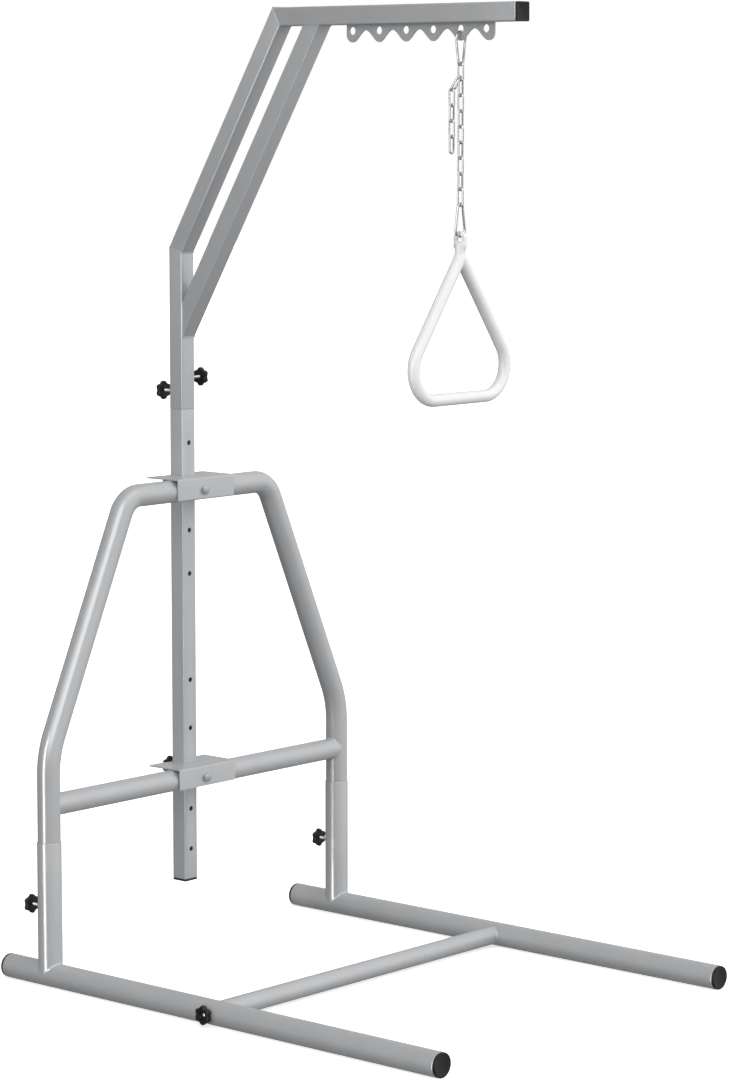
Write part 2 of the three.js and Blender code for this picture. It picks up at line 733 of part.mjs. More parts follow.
const braceSide = vec(0, -Math.cos(boomLean), -Math.sin(boomLean));
const braceLine = shifted(bendPoint, braceSide, braceOffset);
const braceFootFace = mastAxis - mastSide / 2 - seatGap;
const braceHeadFace = armAxisHeight - mastSide / 2 - seatGap;
const braceFoot = shifted(braceLine, diagonalWay, (braceFootFace - braceLine.y) / diagonalWay.y);
const braceHead = shifted(braceLine, diagonalWay, (braceHeadFace - braceLine.z) / diagonalWay.z);
const boomBrace = mitredTube(
  squareSection(mastSide, mastWall, braceCornerRadius),
  braceFoot,
  braceHead,
  yAxis,
  zAxis,
);
addPiece(trapeze, "boom_brace", boomBrace, silverPaint);
const endCap = addPiece(trapeze, "boom_end_cap", squarePlug(endCapFlange), blackPlastic);
endCap.position.set(0, armFront + endCapFlange, armAxisHeight);
endCap.rotation.x = quarterTurn;

const rearKnobFace = vec(0, mastAxis + mastSide / 2, rearKnobHeight);
const sideKnobFace = vec(mastSide / 2, mastAxis, sideKnobHeight);
addKnob("boom_rear", rearKnobFace, yAxis, rearKnobStandoff, mastWall);
addKnob("boom_side", sideKnobFace, xAxis, sideKnobStandoff, mastWall);

// Hanger plate, drawn with its x along -Y, with a wave of one crest for each hole along its lower edge
const plateHoles = Array.from({ length: plateHoleCount }, (_, i) => plateRearLobe - i * plateHolePitch);
plateHoles[plateHoleCount - 1] += frontHoleShift;
function plateGeometry() {
  const mean = plateTop - (plateLobeDepth + plateValleyDepth) / 2;
  const swing = (plateLobeDepth - plateValleyDepth) / 2;
  const edgeAt = (y) => mean - swing * Math.cos(((y - plateRearLobe) / plateHolePitch) * fullTurn);
  const outline = new THREE.Shape();
  const endArc = plateTop - plateLobeDepth + plateEndMargin;
  outline.moveTo(-plateRear, plateTop);
  outline.lineTo(-plateRear, endArc);
  outline.absarc(-plateRearLobe, endArc, plateEndMargin, 2 * quarterTurn, 3 * quarterTurn, false);
  const waveLength = plateRearLobe - plateFrontLobe;
  const waveSteps = (plateHoleCount - 1) * scallopSteps;
  for (let step = 1; step < waveSteps; step += 1) {
    const y = plateRearLobe - (waveLength * step) / waveSteps;
    outline.lineTo(-y, edgeAt(y));
  }
  outline.absarc(-plateFrontLobe, endArc, plateEndMargin, 3 * quarterTurn, fullTurn, false);
  outline.lineTo(-plateFront, plateTop);
  for (const y of plateHoles) {
    const hole = new THREE.Path();
    hole.absarc(-y, plateHoleHeight, plateHoleDiameter / 2, 0, fullTurn, false);
    outline.holes.push(hole);
  }
  const plate = new THREE.ExtrudeGeometry(outline, {
    depth: plateThickness,
    steps: 1,
    curveSegments: holeSides / 2,
    bevelEnabled: false,
  });
  const place = new THREE.Matrix4().makeBasis(vec(0, -1, 0), zAxis, vec(-1, 0, 0));
  return plate.applyMatrix4(place.setPosition(plateThickness / 2, 0, 0));
}
addPiece(trapeze, "hanger_plate", plateGeometry(), silverPaint);

// Carabiner in the XZ plane, wide end up, with its origin at the middle of the wire at the wide end
const wireRadius = carabinerWire / 2;
const wideCentre = -wideRadius;
const narrowCentre = narrowRadius + carabinerWire - carabinerLength;
const narrowWire = narrowCentre - narrowRadius; // height of the wire round the narrow end
const sideTilt = Math.asin((wideRadius - narrowRadius) / (wideCentre - narrowCentre));
const sideTop = vec(wideRadius * Math.cos(sideTilt), 0, wideCentre + wideRadius * Math.sin(sideTilt));
const sideBottom = vec(narrowRadius * Math.cos(sideTilt), 0, narrowCentre + narrowRadius * Math.sin(sideTilt));
const gateWay = sideTop.clone().sub(sideBottom).normalize();
const gateOut = vec(gateWay.z, 0, -gateWay.x);
const hingePoint = sideBottom.clone().lerp(sideTop, hingeShare);
const nosePoint = sideBottom.clone().lerp(sideTop, noseShare);

// A block with its length along the gate, centred across it.
function gateBlock(fromReach, toReach, width, thickness) {
  const block = new THREE.BoxGeometry(width, thickness, toReach - fromReach);
  block.translate(0, 0, (fromReach + toReach) / 2);
  return block.applyMatrix4(new THREE.Matrix4().makeBasis(gateOut, yAxis, gateWay).setPosition(hingePoint));
}

function carabinerBody() {
  const wideSteps = Math.ceil((2 * quarterTurn + 2 * sideTilt) / wireBendStep);
  const narrowSteps = Math.ceil((2 * quarterTurn - 2 * sideTilt) / wireBendStep);
  const halfTurn = 2 * quarterTurn;
  const stations = [
    { point: nosePoint, tangent: gateWay },
    ...arcStations(wideCentre, wideRadius, -sideTilt, halfTurn + sideTilt, wideSteps),
    ...arcStations(narrowCentre, narrowRadius, halfTurn + sideTilt, fullTurn - sideTilt, narrowSteps),
    { point: shifted(hingePoint, gateWay, -hingeWireSetback), tangent: gateWay },
  ];
  const wire = sweep(roundSection(wireRadius, 0, wireSides), stations);
  const tongue = gateBlock(-hingeWireSetback - tongueReach, tongueReach, 2 * tongueReach, tongueThickness);
  const pinHole = bar(
    pinDiameter / 2 + seatGap,
    shifted(hingePoint, yAxis, -wireRadius),
    shifted(hingePoint, yAxis, wireRadius),
  );
  return without(joined(wire, tongue), pinHole);
}

function carabinerGate() {
  const noseReach = nosePoint.distanceTo(hingePoint) - seatGap;
  const rod = prism(
    roundSection(wireRadius, 0, wireSides),
    shifted(hingePoint, gateWay, -earReach),
    shifted(hingePoint, gateWay, noseReach),
    yAxis,
  );
  const slot = gateBlock(-hingeWireSetback, slotReach, 2 * carabinerWire, tongueThickness + 2 * seatGap);
  const pinReach = tongueThickness;
  const pin = bar(
    pinDiameter / 2,
    shifted(hingePoint, yAxis, -pinReach),
    shifted(hingePoint, yAxis, pinReach),
  );
  return joined(without(rod, slot), pin);
}

const chainLine = plateHoles[carabinerHole];
const topWire = plateHoleHeight - plateHoleDiameter / 2 + wireRadius + seatGap;
const topCarabiner = new THREE.Group();
topCarabiner.position.set(0, chainLine, topWire);
addPiece(topCarabiner, "top_carabiner", carabinerBody(), brightZinc);
addPiece(topCarabiner, "top_gate", carabinerGate(), brightZinc);
trapeze.add(topCarabiner);

// Chain link in the XZ plane, its origin at the middle of its upper wire
const linkRadius = (linkWidth - linkWire) / 2;
const linkDrop = linkPitch + linkWire + seatGap; // from its upper to its lower wire
function linkGeometry() {
  const halfTurn = 2 * quarterTurn;
  const stations = [
    ...arcStations(-linkRadius, linkRadius, 0, halfTurn, linkBendSteps),
    ...arcStations(linkRadius - linkDrop, linkRadius, halfTurn, fullTurn, linkBendSteps),
  ];
  const route = new StationCurve(stations, true);
  return new THREE.TubeGeometry(route, stations.length, linkWire / 2, linkSides, true);
}

const hookStep = wireRadius + linkWire / 2 + seatGap; // between the wires of carabiner and link
const linkStep = linkWire + seatGap; // between the wires of two links
const firstLinkWire = topWire + narrowWire + hookStep;
for (let i = 0; i < mainLinkCount; i += 1) {
  const link = addPiece(trapeze, `chain_link_${i + 1}`, linkGeometry(), brightZinc);
  link.position.set(0, chainLine, firstLinkWire - i * linkPitch);
  link.rotation.z = i % 2 === 0 ? quarterTurn : 0;
}

// The tail hooks into the first link, above the second one, and hangs down behind the chain
const secondLinkWire = firstLinkWire - linkPitch;
const tailWire = vec(0, chainLine + tailOffset, secondLinkWire + Math.sqrt(linkStep ** 2 - tailOffset ** 2));
const tailWay = vec(0, Math.sin(tailSlant), -Math.cos(tailSlant));
const tailTurn = shifted(tailWire, tailWay, linkDrop);
for (let i = 0; i < tailLinkCount; i += 1) {
  const link = addPiece(trapeze, `tail_link_${i + 1}`, linkGeometry(), brightZinc);
  if (i === 0) {
    link.position.copy(tailWire);
    link.rotation.x = tailSlant;
  } else {
    link.position.set(0, tailTurn.y, tailTurn.z + linkStep - (i - 1) * linkPitch);
    link.rotation.z = i % 2 === 1 ? quarterTurn : 0;
  }
}

// Lower carabiner, turned over in its own plane: its narrow end hooks in the last link
const lastLinkFoot = firstLinkWire - (mainLinkCount - 1) * linkPitch - linkDrop;
const lowerCarabiner = new THREE.Group();
const lowerWire = lastLinkFoot + hookStep + narrowWire; // middle of the wire round its wide end
lowerCarabiner.position.set(0, chainLine, lowerWire);
lowerCarabiner.rotation.x = 2 * quarterTurn;
addPiece(lowerCarabiner, "lower_carabiner", carabinerBody(), brightZinc);
addPiece(lowerCarabiner, "lower_gate", carabinerGate(), brightZinc);
trapeze.add(lowerCarabiner);

// Handle: a round bar bent to a triangle, and the eye on its top that hangs on the carabiner
const barHeight = lowerWire - gripDrop;
const cornerHeight = barHeight + gripCornerRadius;
const apexHeight = cornerHeight + (gripCornerRadius / Math.cos(gripLean) + gripHalfBar) / Math.tan(gripLean);
const pastApex = 2 * gripDiameter; // how far each side runs past the apex before it is cut flat
const cornerPointOf = (side) => {
  const reach = gripHalfBar + gripCornerRadius * Math.tan((quarterTurn + gripLean) / 2);
  return vec(side * reach, chainLine, barHeight);
};
const neckSpread = eyeNeckDiameter / 2 / Math.tan(gripLean);
const gripTop = apexHeight + gripDiameter / 2 / Math.sin(gripLean) - neckSpread;
function halfGrip(side) {
  const end = vec(-side * pastApex * Math.sin(gripLean), chainLine, apexHeight + pastApex * Math.cos(gripLean));
  const stations = roundedRoute([vec(0, chainLine, barHeight), cornerPointOf(side), end], [0, gripCornerRadius, 0]);
  const half = sweep(roundSection(gripDiameter / 2, 0, gripSides), stations);
  const aboveTop = new THREE.BoxGeometry(4 * pastApex, 4 * pastApex, 4 * pastApex);
  aboveTop.translate(0, chainLine, gripTop + 2 * pastApex);
  return without(half, aboveTop);
}
addPiece(trapeze, "handle_grip", joined(halfGrip(-1), halfGrip(1)), whitePlastic);

const wireRise = wideRadius - Math.sqrt(wideRadius ** 2 - (eyeThickness / 2) ** 2);
const eyeHoleHeight = lowerWire + wireRadius + wireRise + seatGap - eyeHoleDiameter / 2;
const eyeFoot = gripTop + seatGap;
const eyeNeckTop = eyeFoot + eyeNeckHeight;
function eyeGeometry() {
  const halfWidth = eyeWidth / 2;
  const outline = new THREE.Shape();
  outline.moveTo(halfWidth, eyeNeckTop - eyeThickness);
  outline.lineTo(halfWidth, eyeHoleHeight);
  outline.absarc(0, eyeHoleHeight, halfWidth, 0, 2 * quarterTurn, false);
  outline.lineTo(-halfWidth, eyeNeckTop - eyeThickness);
  const tab = new THREE.ExtrudeGeometry(outline, {
    depth: eyeThickness,
    steps: 1,
    curveSegments: holeSides / 2,
    bevelEnabled: false,
  });
  const place = new THREE.Matrix4().makeBasis(yAxis, zAxis, xAxis);
  tab.applyMatrix4(place.setPosition(-eyeThickness / 2, chainLine, 0));
  const neck = bar(
    eyeNeckDiameter / 2,
    vec(0, chainLine, eyeFoot),
    vec(0, chainLine, eyeNeckTop),
    gripSides,
  );
  const hole = bar(
    eyeHoleDiameter / 2 / Math.cos(Math.PI / holeSides),
    vec(-eyeWidth, chainLine, eyeHoleHeight),
    vec(eyeWidth, chainLine, eyeHoleHeight),
  );
  return without(joined(neck, tab), hole);
}
addPiece(trapeze, "handle_eye", eyeGeometry(), whitePlastic);

export default trapeze;
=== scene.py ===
"""The finished look of the bed trapeze.

Shapes are worked out in millimetres, in the part's own frame: +Z up, the origin on the floor at the middle of
the stand, the boom reaching to -Y. build() turns them into metres.
"""
import json

import bmesh
import bpy
import numpy as np
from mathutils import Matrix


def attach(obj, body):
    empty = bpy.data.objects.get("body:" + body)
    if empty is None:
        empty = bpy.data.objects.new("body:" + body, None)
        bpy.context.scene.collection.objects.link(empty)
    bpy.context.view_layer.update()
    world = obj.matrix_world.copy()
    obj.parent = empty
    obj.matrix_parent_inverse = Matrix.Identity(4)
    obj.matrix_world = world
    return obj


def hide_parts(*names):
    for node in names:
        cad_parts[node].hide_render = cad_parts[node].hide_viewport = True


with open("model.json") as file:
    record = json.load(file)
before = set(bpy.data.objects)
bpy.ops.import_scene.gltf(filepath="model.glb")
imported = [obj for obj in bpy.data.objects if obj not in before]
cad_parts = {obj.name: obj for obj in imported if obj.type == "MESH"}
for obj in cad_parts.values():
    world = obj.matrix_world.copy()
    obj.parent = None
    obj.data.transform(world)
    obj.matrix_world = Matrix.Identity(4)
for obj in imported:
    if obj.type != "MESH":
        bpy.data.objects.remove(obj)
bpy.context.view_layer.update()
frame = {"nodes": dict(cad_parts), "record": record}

FULL = 2 * np.pi
QUARTER = np.pi / 2
X, Y, Z = np.eye(3)

# Sizes in millimetres
SEAT_GAP = 0.3  # between faces that touch
BORE_SHARE, MITRE_SHARE, LIP_SHARE = 0.1, 0.4, 0.85  # rounding of a tube's cut edges, as shares of its wall
WELD = 1.3  # half thickness of a weld bead
WELD_PITCH = 2.6  # from ripple to ripple of a weld bead
FILLET = 4  # radius of the smooth weld between two round tubes

FLOOR_RADIUS, FLOOR_WALL, FLOOR_HALF_LENGTH = 25, 1.5, 585
FLOOR_AXIS = 443  # of each floor tube from the middle
FLOOR_HEIGHT = 24.786
END_LIP = 2.5  # length of the rounding at a floor tube's ends
CAP_DEPTH, CAP_PROUD, CAP_FLANGE, CAP_EDGE = 18, 5.5, 24.6, 1.8  # FLANGE: its radius; EDGE: its rounding
CAP_HOLLOW, CAP_CHAMFER = 0.6, 1.5  # depth of the dish in its face; bevel at its inner end
SOCKET_RADIUS, SOCKET_WALL, SOCKET_TOP = 25.25, 1.2, 303
HOOP_Y = 466
CROSSBAR_RADIUS, CROSSBAR_WALL = 19.25, 1.5

HOOP_RADIUS, HOOP_WALL = 23.75, 2
HOOP_FOOT = 50.086
HOOP_KNEE = (484.4, 200)  # height of the corner and its bend radius
HOOP_TOP = (996.5, 212.5, 57)  # height, half width and bend radius
HOOP_BAR_RADIUS, HOOP_BAR_HEIGHT = 22.75, 378.2

BRACKET_HALF_WIDTH, BRACKET_WALL, BRACKET_FOLD, BRACKET_DROP = 85, 2.5, 3.5, 18
BRACKET_FRONT, BRACKET_REAR = 441.95, 529.05  # inner faces
TAB_HALF_WIDTH, TAB_SLIT = 38, 2
WINDOW_CORNER = 2.5
BOLT_X, BOLT_FLATS, BOLT_HEAD, BOLT_DOME, BOLT_RADIUS = -5, 17, 6.4, 3, 5
BOLT_COLLAR, BOLT_EDGE = 0.4, 0.25  # ring under the head; least fall of the head's rim
BOLT_CHAMFER = 1  # at the end of its shank
NEAR, PAST = 2, 5  # how far cutters reach past the faces they open

SIDE, WALL, CORNER = 38, 2, 3  # square tube of mast and boom
MAST_Y = 509.05
MAST_BOTTOM, MAST_TOP = 149.5, 1164.3
MAST_HOLE_RADIUS = 5.25
LOWER_HOLES = 214.3 + 88 * np.arange(4)
LONE_HOLE = 583
UPPER_HOLES = 1092.9 - 93.5 * np.arange(4)
PLUG_DEPTH, PLUG_EDGE = 14, 0.9
MAST_PLUG_FLANGE, END_CAP_FLANGE = 4.5, 4.5

BEND_HEIGHT, ARM_HEIGHT, LEAN = 1501, 1983.2, np.radians(31.1)
CORNER_Y, ARM_FRONT = 218.166, -414.03
BRACE_OFFSET, BRACE_CORNER = 92.4, 1.2

PLATE_THICKNESS, PLATE_TOP, PLATE_PITCH = 4, 1963.9, 70.4
PLATE_LOBE, PLATE_VALLEY, PLATE_END = 34.8, 11.2, 15.4  # END: from the middle of the last lobe to the end
PLATE_LOBES = 24 - PLATE_PITCH * np.arange(6)
PLATE_HOLE_RADIUS, PLATE_HOLE_HEIGHT = 8, 1952
PLATE_HOLES = PLATE_LOBES + [0, 0, 0, 0, 0, 5.7]

KNOB_TIP, KNOB_VALLEY, KNOB_LOBES, KNOB_THICKNESS, KNOB_EDGE = 20, 3.6, 6, 10.5, 3
KNOB_DISH, DISH_DEPTH = 9, 4.5  # radius and depth
INSERT_RADIUS, INSERT_COVER, INSERT_DOME = 4.5, 2, 1.6
STUD_RADIUS, THREAD_PITCH, THREAD_DEPTH = 3.2, 1.25, 0.6
SOCKET_KNOB, BRACKET_KNOB, REAR_KNOB, SIDE_KNOB = 166, 390.3, 1201.4, 1229.9  # heights
# Length of each stud from the face that it enters out to its knob, then inward where that isn't one wall
SOCKET_STUD, CROSSBAR_STUD, BRACKET_STUD, REAR_STUD, SIDE_STUD = 23, 0.6, 16.2, 31, 32.7
CROSSBAR_STUD_PAST, BRACKET_STUD_PAST = 58.3, 3.2

WIRE = 2.5  # radius of the carabiner wire
WIDE_RADIUS, NARROW_RADIUS, CARABINER_LENGTH = 14, 7.5, 70
HINGE_SHARE, NOSE_SHARE = 0.1, 0.85
GATE_TAIL, GATE_DOME, GATE_EDGE = 2.2, 1.2, 0.8  # past the hinge; rounding there; rounding at the nose
PIN_REACH, PIN_DOME, PIN_HEAD, PIN_RADIUS = 3.1, 0.8, 1.5, 0.8
TOP_WIRE, LOWER_WIRE = 1946.8, 1546.7
CHAIN_Y = -257.6

LINK_WIRE, LINK_BEND, LINK_DROP, LINK_PITCH = 2, 6, 34.9, 30.6
LINK_SWELL, LINK_SWELL_LENGTH = 0.14, 1.6
FIRST_LINK = 1886.6
TAIL_WIRE, TAIL_SLANT = (0, -255.9, 1859.95), np.radians(37)  # of the first link of the tail
TAIL_Y, TAIL_TOP = -234.9, 1836.38  # of the other four

GRIP_RADIUS, GRIP_CORNER, GRIP_HALF_BAR, GRIP_LEAN = 12.5, 61.5, 79, np.radians(35.4)
BAR_HEIGHT, GRIP_TOP = 1227.8, 1512.45
NECK_RADIUS, NECK_TOP = 11.2, 1534.75
NECK_SUNK = 14
EYE_RADIUS, EYE_HALF_THICKNESS, EYE_HOLE_RADIUS, EYE_HEIGHT = 15, 3.5, 7, 1542.94
EYE_SHOULDER, EYE_ROOT = 9, 15  # below the neck's top


# ---- Shapes ----

def unit(vectors):
    """Each vector divided by its length."""
    vectors = np.asarray(vectors, float)
    return vectors / np.linalg.norm(vectors, axis=-1, keepdims=True)


def surface(points, wrap_rows=False):
    """A shell over rows of points, each row a closed loop: a quad joins each point to the next in its row and
    to its neighbour in the next row; wrap_rows joins the last row to the first."""
    rows, columns = points.shape[:2]
    index = np.arange(rows * columns).reshape(rows, columns)
    if wrap_rows:
        index = np.vstack([index, index[:1]])
    index = np.hstack([index, index[:, :1]])
    quads = np.stack([index[:-1, :-1], index[1:, :-1], index[1:, 1:], index[:-1, 1:]], axis=-1)
    return points.reshape(-1, 3), quads.reshape(-1, 4).tolist()


def rings(centres, ways, across, radii, sides):
    """Round rows: centre + radius * (cos t * across + sin t * way x across), t going once round. An across
    shorter than one flattens the row that way."""
    centres = np.asarray(centres, float)
    ways = np.broadcast_to(ways, centres.shape)
    across = np.broadcast_to(across, centres.shape)
    upright = np.cross(ways, unit(across))
    t = (FULL * np.arange(sides) / sides)[None, :, None]
    radii = np.asarray(radii, float).reshape(len(centres), -1)[..., None]
    circle = np.cos(t) * across[:, None] + np.sin(t) * upright[:, None]
    return centres[:, None] + radii * circle


def turned(profile, foot, way, sides=48):
    """A turned shape: each pair (height, radius) of its profile is a circle round the axis."""
    profile = np.asarray(profile, float)
    way = unit(way)
    across = X if abs(way[0]) < 0.5 else Y
    centres = np.asarray(foot) + profile[:, :1] * way
    return surface(rings(centres, way, across, profile[:, 1], sides))


def drill(centre, way, radius, half_length, sides=48):
    """The rod that cuts a round hole about its centre."""
    return turned([(-half_length, 0), (-half_length, radius), (half_length, radius), (half_length, 0)],
                  centre, way, sides)


def route(corners, radii=None, step=np.radians(4)):
    """A line through corners that arcs round off: start + r sin t * before + r (1 - cos t) * inward, where
    before is the way in and inward points to the arc's centre. Gives its points and their directions."""
    corners = np.asarray(corners, float)
    points, ways = [corners[:1]], [unit(corners[1:2] - corners[:1])]
    for i in range(1, len(corners) - 1):
        before, after = unit(corners[i] - corners[i - 1]), unit(corners[i + 1] - corners[i])
        turn = np.arccos(before @ after)
        inward = unit(after - before * np.cos(turn))
        t = np.linspace(0, turn, int(np.ceil(turn / step)) + 1)[:, None]
        start = corners[i] - before * radii[i] * np.tan(turn / 2)
        points.append(start + radii[i] * (np.sin(t) * before + (1 - np.cos(t)) * inward))
        ways.append(np.cos(t) * before + np.sin(t) * inward)
    points.append(corners[-1:])
    ways.append(unit(corners[-1:] - corners[-2:-1]))
    return np.vstack(points), np.vstack(ways)


def round_tube(line, across, outer, wall, sides=64, lip_length=None):
    """A round tube along a line: rows of the outer wall, back through the bore, and at each end a rim whose
    edges are quarter circles, the outer one drawn out to a lip length if one is given."""
    points, ways = line
    t = np.linspace(0, QUARTER, 4)
    bore, inner, lip = outer - wall, BORE_SHARE * wall, LIP_SHARE * wall
    setback = np.concatenate([inner * (1 - np.sin(t)), (lip_length or lip) * (1 - np.cos(t))])[:, None]
    radius = np.concatenate([bore + inner * (1 - np.cos(t)), outer - lip * (1 - np.sin(t))])
    middle, back = slice(1, -1), slice(-2, 0, -1)
    rows = [points[0] + setback * ways[0], points[middle],
            points[-1] - setback[::-1] * ways[-1], points[back]]
    tops = np.repeat(ways[:1], len(t) * 2, axis=0), np.repeat(ways[-1:], len(t) * 2, axis=0)
    run = len(points) - 2
    radii = [radius, np.full(run, outer), radius[::-1], np.full(run, bore)]
    rows, ways = np.vstack(rows), np.vstack([tops[0], ways[middle], tops[1], ways[back]])
    return rings(rows, ways, across, np.concatenate(radii), sides)


def square(side, corner, steps=7):
    """Outline of a square with rounded corners: a quarter circle at each, with a point just before and after
    it, so that the flat sides shade flat."""
    t = np.linspace(0, QUARTER, steps)
    arc = np.stack([corner * np.cos(t), corner * np.sin(t)], axis=1) + side / 2 - corner
    hold = 0.4
    arc = np.vstack([arc[0] - [0, hold], arc, arc[-1] - [hold, 0]])
    turns = [np.array([[np.cos(a), np.sin(a)], [-np.sin(a), np.cos(a)]]) for a in QUARTER * np.arange(4)]
    return np.vstack([arc @ turn for turn in turns])


def outline_row(outline, base, way, normal, across=X):
    """An outline on the plane through base with that normal, each of its points slid along the way."""
    offset = outline[:, :1] * across + outline[:, 1:] * np.cross(way, across)
    return base + offset - way * (offset @ normal / (way @ normal))[:, None]


def square_tube(start, end, start_normal, end_normal, corner=CORNER, lip=MITRE_SHARE):
    """A square tube cut by a plane at each end: outer outline to outer outline, then back through the bore,
    the cut edges rounded by quarter circles. Lip is the share of the wall that rounds the outer edge of its
    end."""
    way = unit(end - start)
    t = np.linspace(0, QUARTER, 4)
    rows = []
    for base, normal, sign, share in ((start, start_normal, 1, MITRE_SHARE), (end, end_normal, -1, lip)):
        inner, outer = BORE_SHARE * WALL, share * WALL
        steps = [(inner * (1 - np.sin(a)), WALL - inner * (1 - np.cos(a))) for a in t]  # setback, inset
        steps += [(outer * (1 - np.cos(a)), outer * (1 - np.sin(a))) for a in t]
        for setback, inset in steps[::sign]:
            outline = square(SIDE - 2 * inset, max(corner - inset, WALL / 4))
            rows.append(outline_row(outline, base + sign * setback * way, way, normal))
    return surface(np.array(rows), wrap_rows=True)


def loft(rows):
    """A closed solid through outlines that are joined in order, with flat ends."""
    points, faces = surface(np.array(rows))
    count = len(rows[0])
    ends = [list(range(count)), list(range(len(points) - count, len(points)))]
    return points, faces + ends


def weld(loop):
    """A weld bead along a closed line: a bar whose radius swells by a sixth once for each ripple."""
    loop = np.asarray(loop, float)
    way = unit(np.roll(loop, -1, axis=0) - np.roll(loop, 1, axis=0))
    out = loop - loop.mean(axis=0)
    out = unit(out - np.sum(out * way, axis=1, keepdims=True) * way)
    stretch = np.linalg.norm(np.roll(loop, -1, axis=0) - loop, axis=1)
    share = np.cumsum(stretch) / stretch.sum()
    ripples = round(stretch.sum() / WELD_PITCH)
    radii = WELD * (1 + np.sin(FULL * ripples * share) / 6)
    return surface(rings(loop, way, out, radii, sides=8), wrap_rows=True)


def fillet(loop, axis, bar_normal):
    """A smooth weld where a tube along an axis meets a bar: from the bar to the tube by the quarter circle
    seam + radius * ((1 - sin b) * along the bar + (1 - cos b) * along the tube), closed behind the seam."""
    way = unit(np.roll(loop, -1, axis=0) - np.roll(loop, 1, axis=0))
    out = loop - loop.mean(axis=0)
    out = unit(out - (out @ axis)[:, None] * axis)
    up, aside = unit(np.cross(way, out)), unit(np.cross(bar_normal, way))
    up *= np.sign(up @ axis)[:, None]
    aside *= np.sign(np.sum(aside * out, axis=1, keepdims=True) + 1e-6)
    sink = FILLET ** 2 / 2 / FLOOR_RADIUS  # the bar curves away by this much
    edge, back = 0.1, 1.2  # how deep in the metal the fillet's edges and its back lie
    t = np.linspace(0, QUARTER, 9)
    rows = [loop + FILLET * ((1 - np.sin(b)) * aside + (1 - np.cos(b)) * up)
            - sink * (1 - np.sin(b)) * bar_normal - edge * (out + bar_normal) for b in t]
    rows.append(loop - back * (out + bar_normal))
    return surface(np.array(rows), wrap_rows=True)


def evenly(loop, spacing=0.5):
    """A closed line with its points spread evenly along it."""
    loop = np.vstack([loop, loop[:1]])
    distance = np.concatenate([[0], np.cumsum(np.linalg.norm(np.diff(loop, axis=0), axis=1))])
    places = np.linspace(0, distance[-1], int(distance[-1] / spacing), endpoint=False)
    return np.stack([np.interp(places, distance, loop[:, k]) for k in range(3)], axis=1)


# ---- Finishes ----

def linear(hex_colour):
    """Linear colour of an sRGB hex value."""
    channels = np.array([int(hex_colour[i:i + 2], 16) for i in (1, 3, 5)]) / 255
    return (*np.where(channels <= 0.04045, channels / 12.92, ((channels + 0.055) / 1.055) ** 2.4), 1)


def add_node(material, kind, inputs=None, **settings):
    """Adds a node. Each input is a value, or the output of another node, which is then linked."""
    node = material.node_tree.nodes.new(kind)
    for name, value in settings.items():
        setattr(node, name, value)
    for socket, value in (inputs or {}).items():
        if isinstance(value, bpy.types.NodeSocket):
            material.node_tree.links.new(value, node.inputs[socket])
        else:
            node.inputs[socket].default_value = value
    return node


def finish_of(name, light, dark, patch, grain, grain_height, roughness, **shader):
    """A coated or moulded surface. Its colour drifts between two near tones over patches, its roughness
    drifts with them, and a fine grain gives the bump. Patch and grain are sizes in millimetres, and
    grain_height is the grain's height; roughness is a lowest and a highest value."""
    material = bpy.data.materials.new(name)
    material.use_nodes = True
    nodes = material.node_tree.nodes
    place = add_node(material, "ShaderNodeTexCoord").outputs["Object"]
    drift = add_node(material, "ShaderNodeTexNoise", {"Vector": place, "Scale": 1000 / patch, "Detail": 3})
    fine = add_node(material, "ShaderNodeTexNoise", {"Vector": place, "Scale": 1000 / grain, "Detail": 2})
    tone = add_node(material, "ShaderNodeMix", {0: drift.outputs["Fac"], 6: linear(dark), 7: linear(light)},
                    data_type="RGBA")
    dull = add_node(material, "ShaderNodeMapRange", {"Value": drift.outputs["Fac"], "From Min": 0.3,
                                                    "From Max": 0.7, "To Min": roughness[0],
                                                    "To Max": roughness[1]})
    bump = add_node(material, "ShaderNodeBump", {"Height": fine.outputs["Fac"], "Strength": 0.5,
                                                "Distance": grain_height / 1000})
    principled = nodes["Principled BSDF"]
    for socket, output in (("Base Color", tone.outputs[2]), ("Roughness", dull.outputs["Result"]),
                           ("Normal", bump.outputs["Normal"])):
        material.node_tree.links.new(output, principled.inputs[socket])
    for socket, value in shader.items():
        principled.inputs[socket.replace("_", " ")].default_value = value
    return material


# Polyester powder coat with fine aluminium flake, sprayed and baked on the steel: a soft sheen, and a slight
# orange peel of 1.5 mm cells.
silver_powder_coat = finish_of("silver_powder_coat", "#C4C6C8", "#BCBEC0", patch=60, grain=1.5,
                               grain_height=0.004, roughness=(0.25, 0.27), Metallic=0.35)
# Injection-moulded black nylon: satin, with the fine spark-eroded grain of its mould, drawn at 0.6 mm.
black_nylon = finish_of("black_nylon", "#0C0C0C", "#070707", patch=25, grain=0.6, grain_height=0.03,
                        roughness=(0.3, 0.42), IOR=1.53)
# Bright zinc plate on drawn and forged steel: a clear metal shine, broken by draw marks of 0.8 mm.
bright_zinc = finish_of("bright_zinc", "#E2E4E6", "#D2D4D6", patch=8, grain=0.8, grain_height=0.015,
                        roughness=(0.06, 0.13), Metallic=1.0)
# Glossy white dipped vinyl: smooth and wet-looking, with a faint waviness of 12 mm from the dip.
white_vinyl = finish_of("white_vinyl", "#F2F2F1", "#ECECEA", patch=80, grain=12, grain_height=0.03,
                        roughness=(0.2, 0.26), IOR=1.53, Coat_Weight=0.6, Coat_Roughness=0.06)
finish_of_slot = {"silver_paint": silver_powder_coat, "black_plastic": black_nylon,
                  "bright_zinc": bright_zinc, "white_plastic": white_vinyl}

bodies = frame["record"]["behaviour"]["bodies"]
body_of_node = {node: body for body, nodes in bodies.items() for node in nodes}
slot_of_node = {part["node"]: part["material_slot"] for part in frame["record"]["subparts"]}


# ---- Making pieces ----

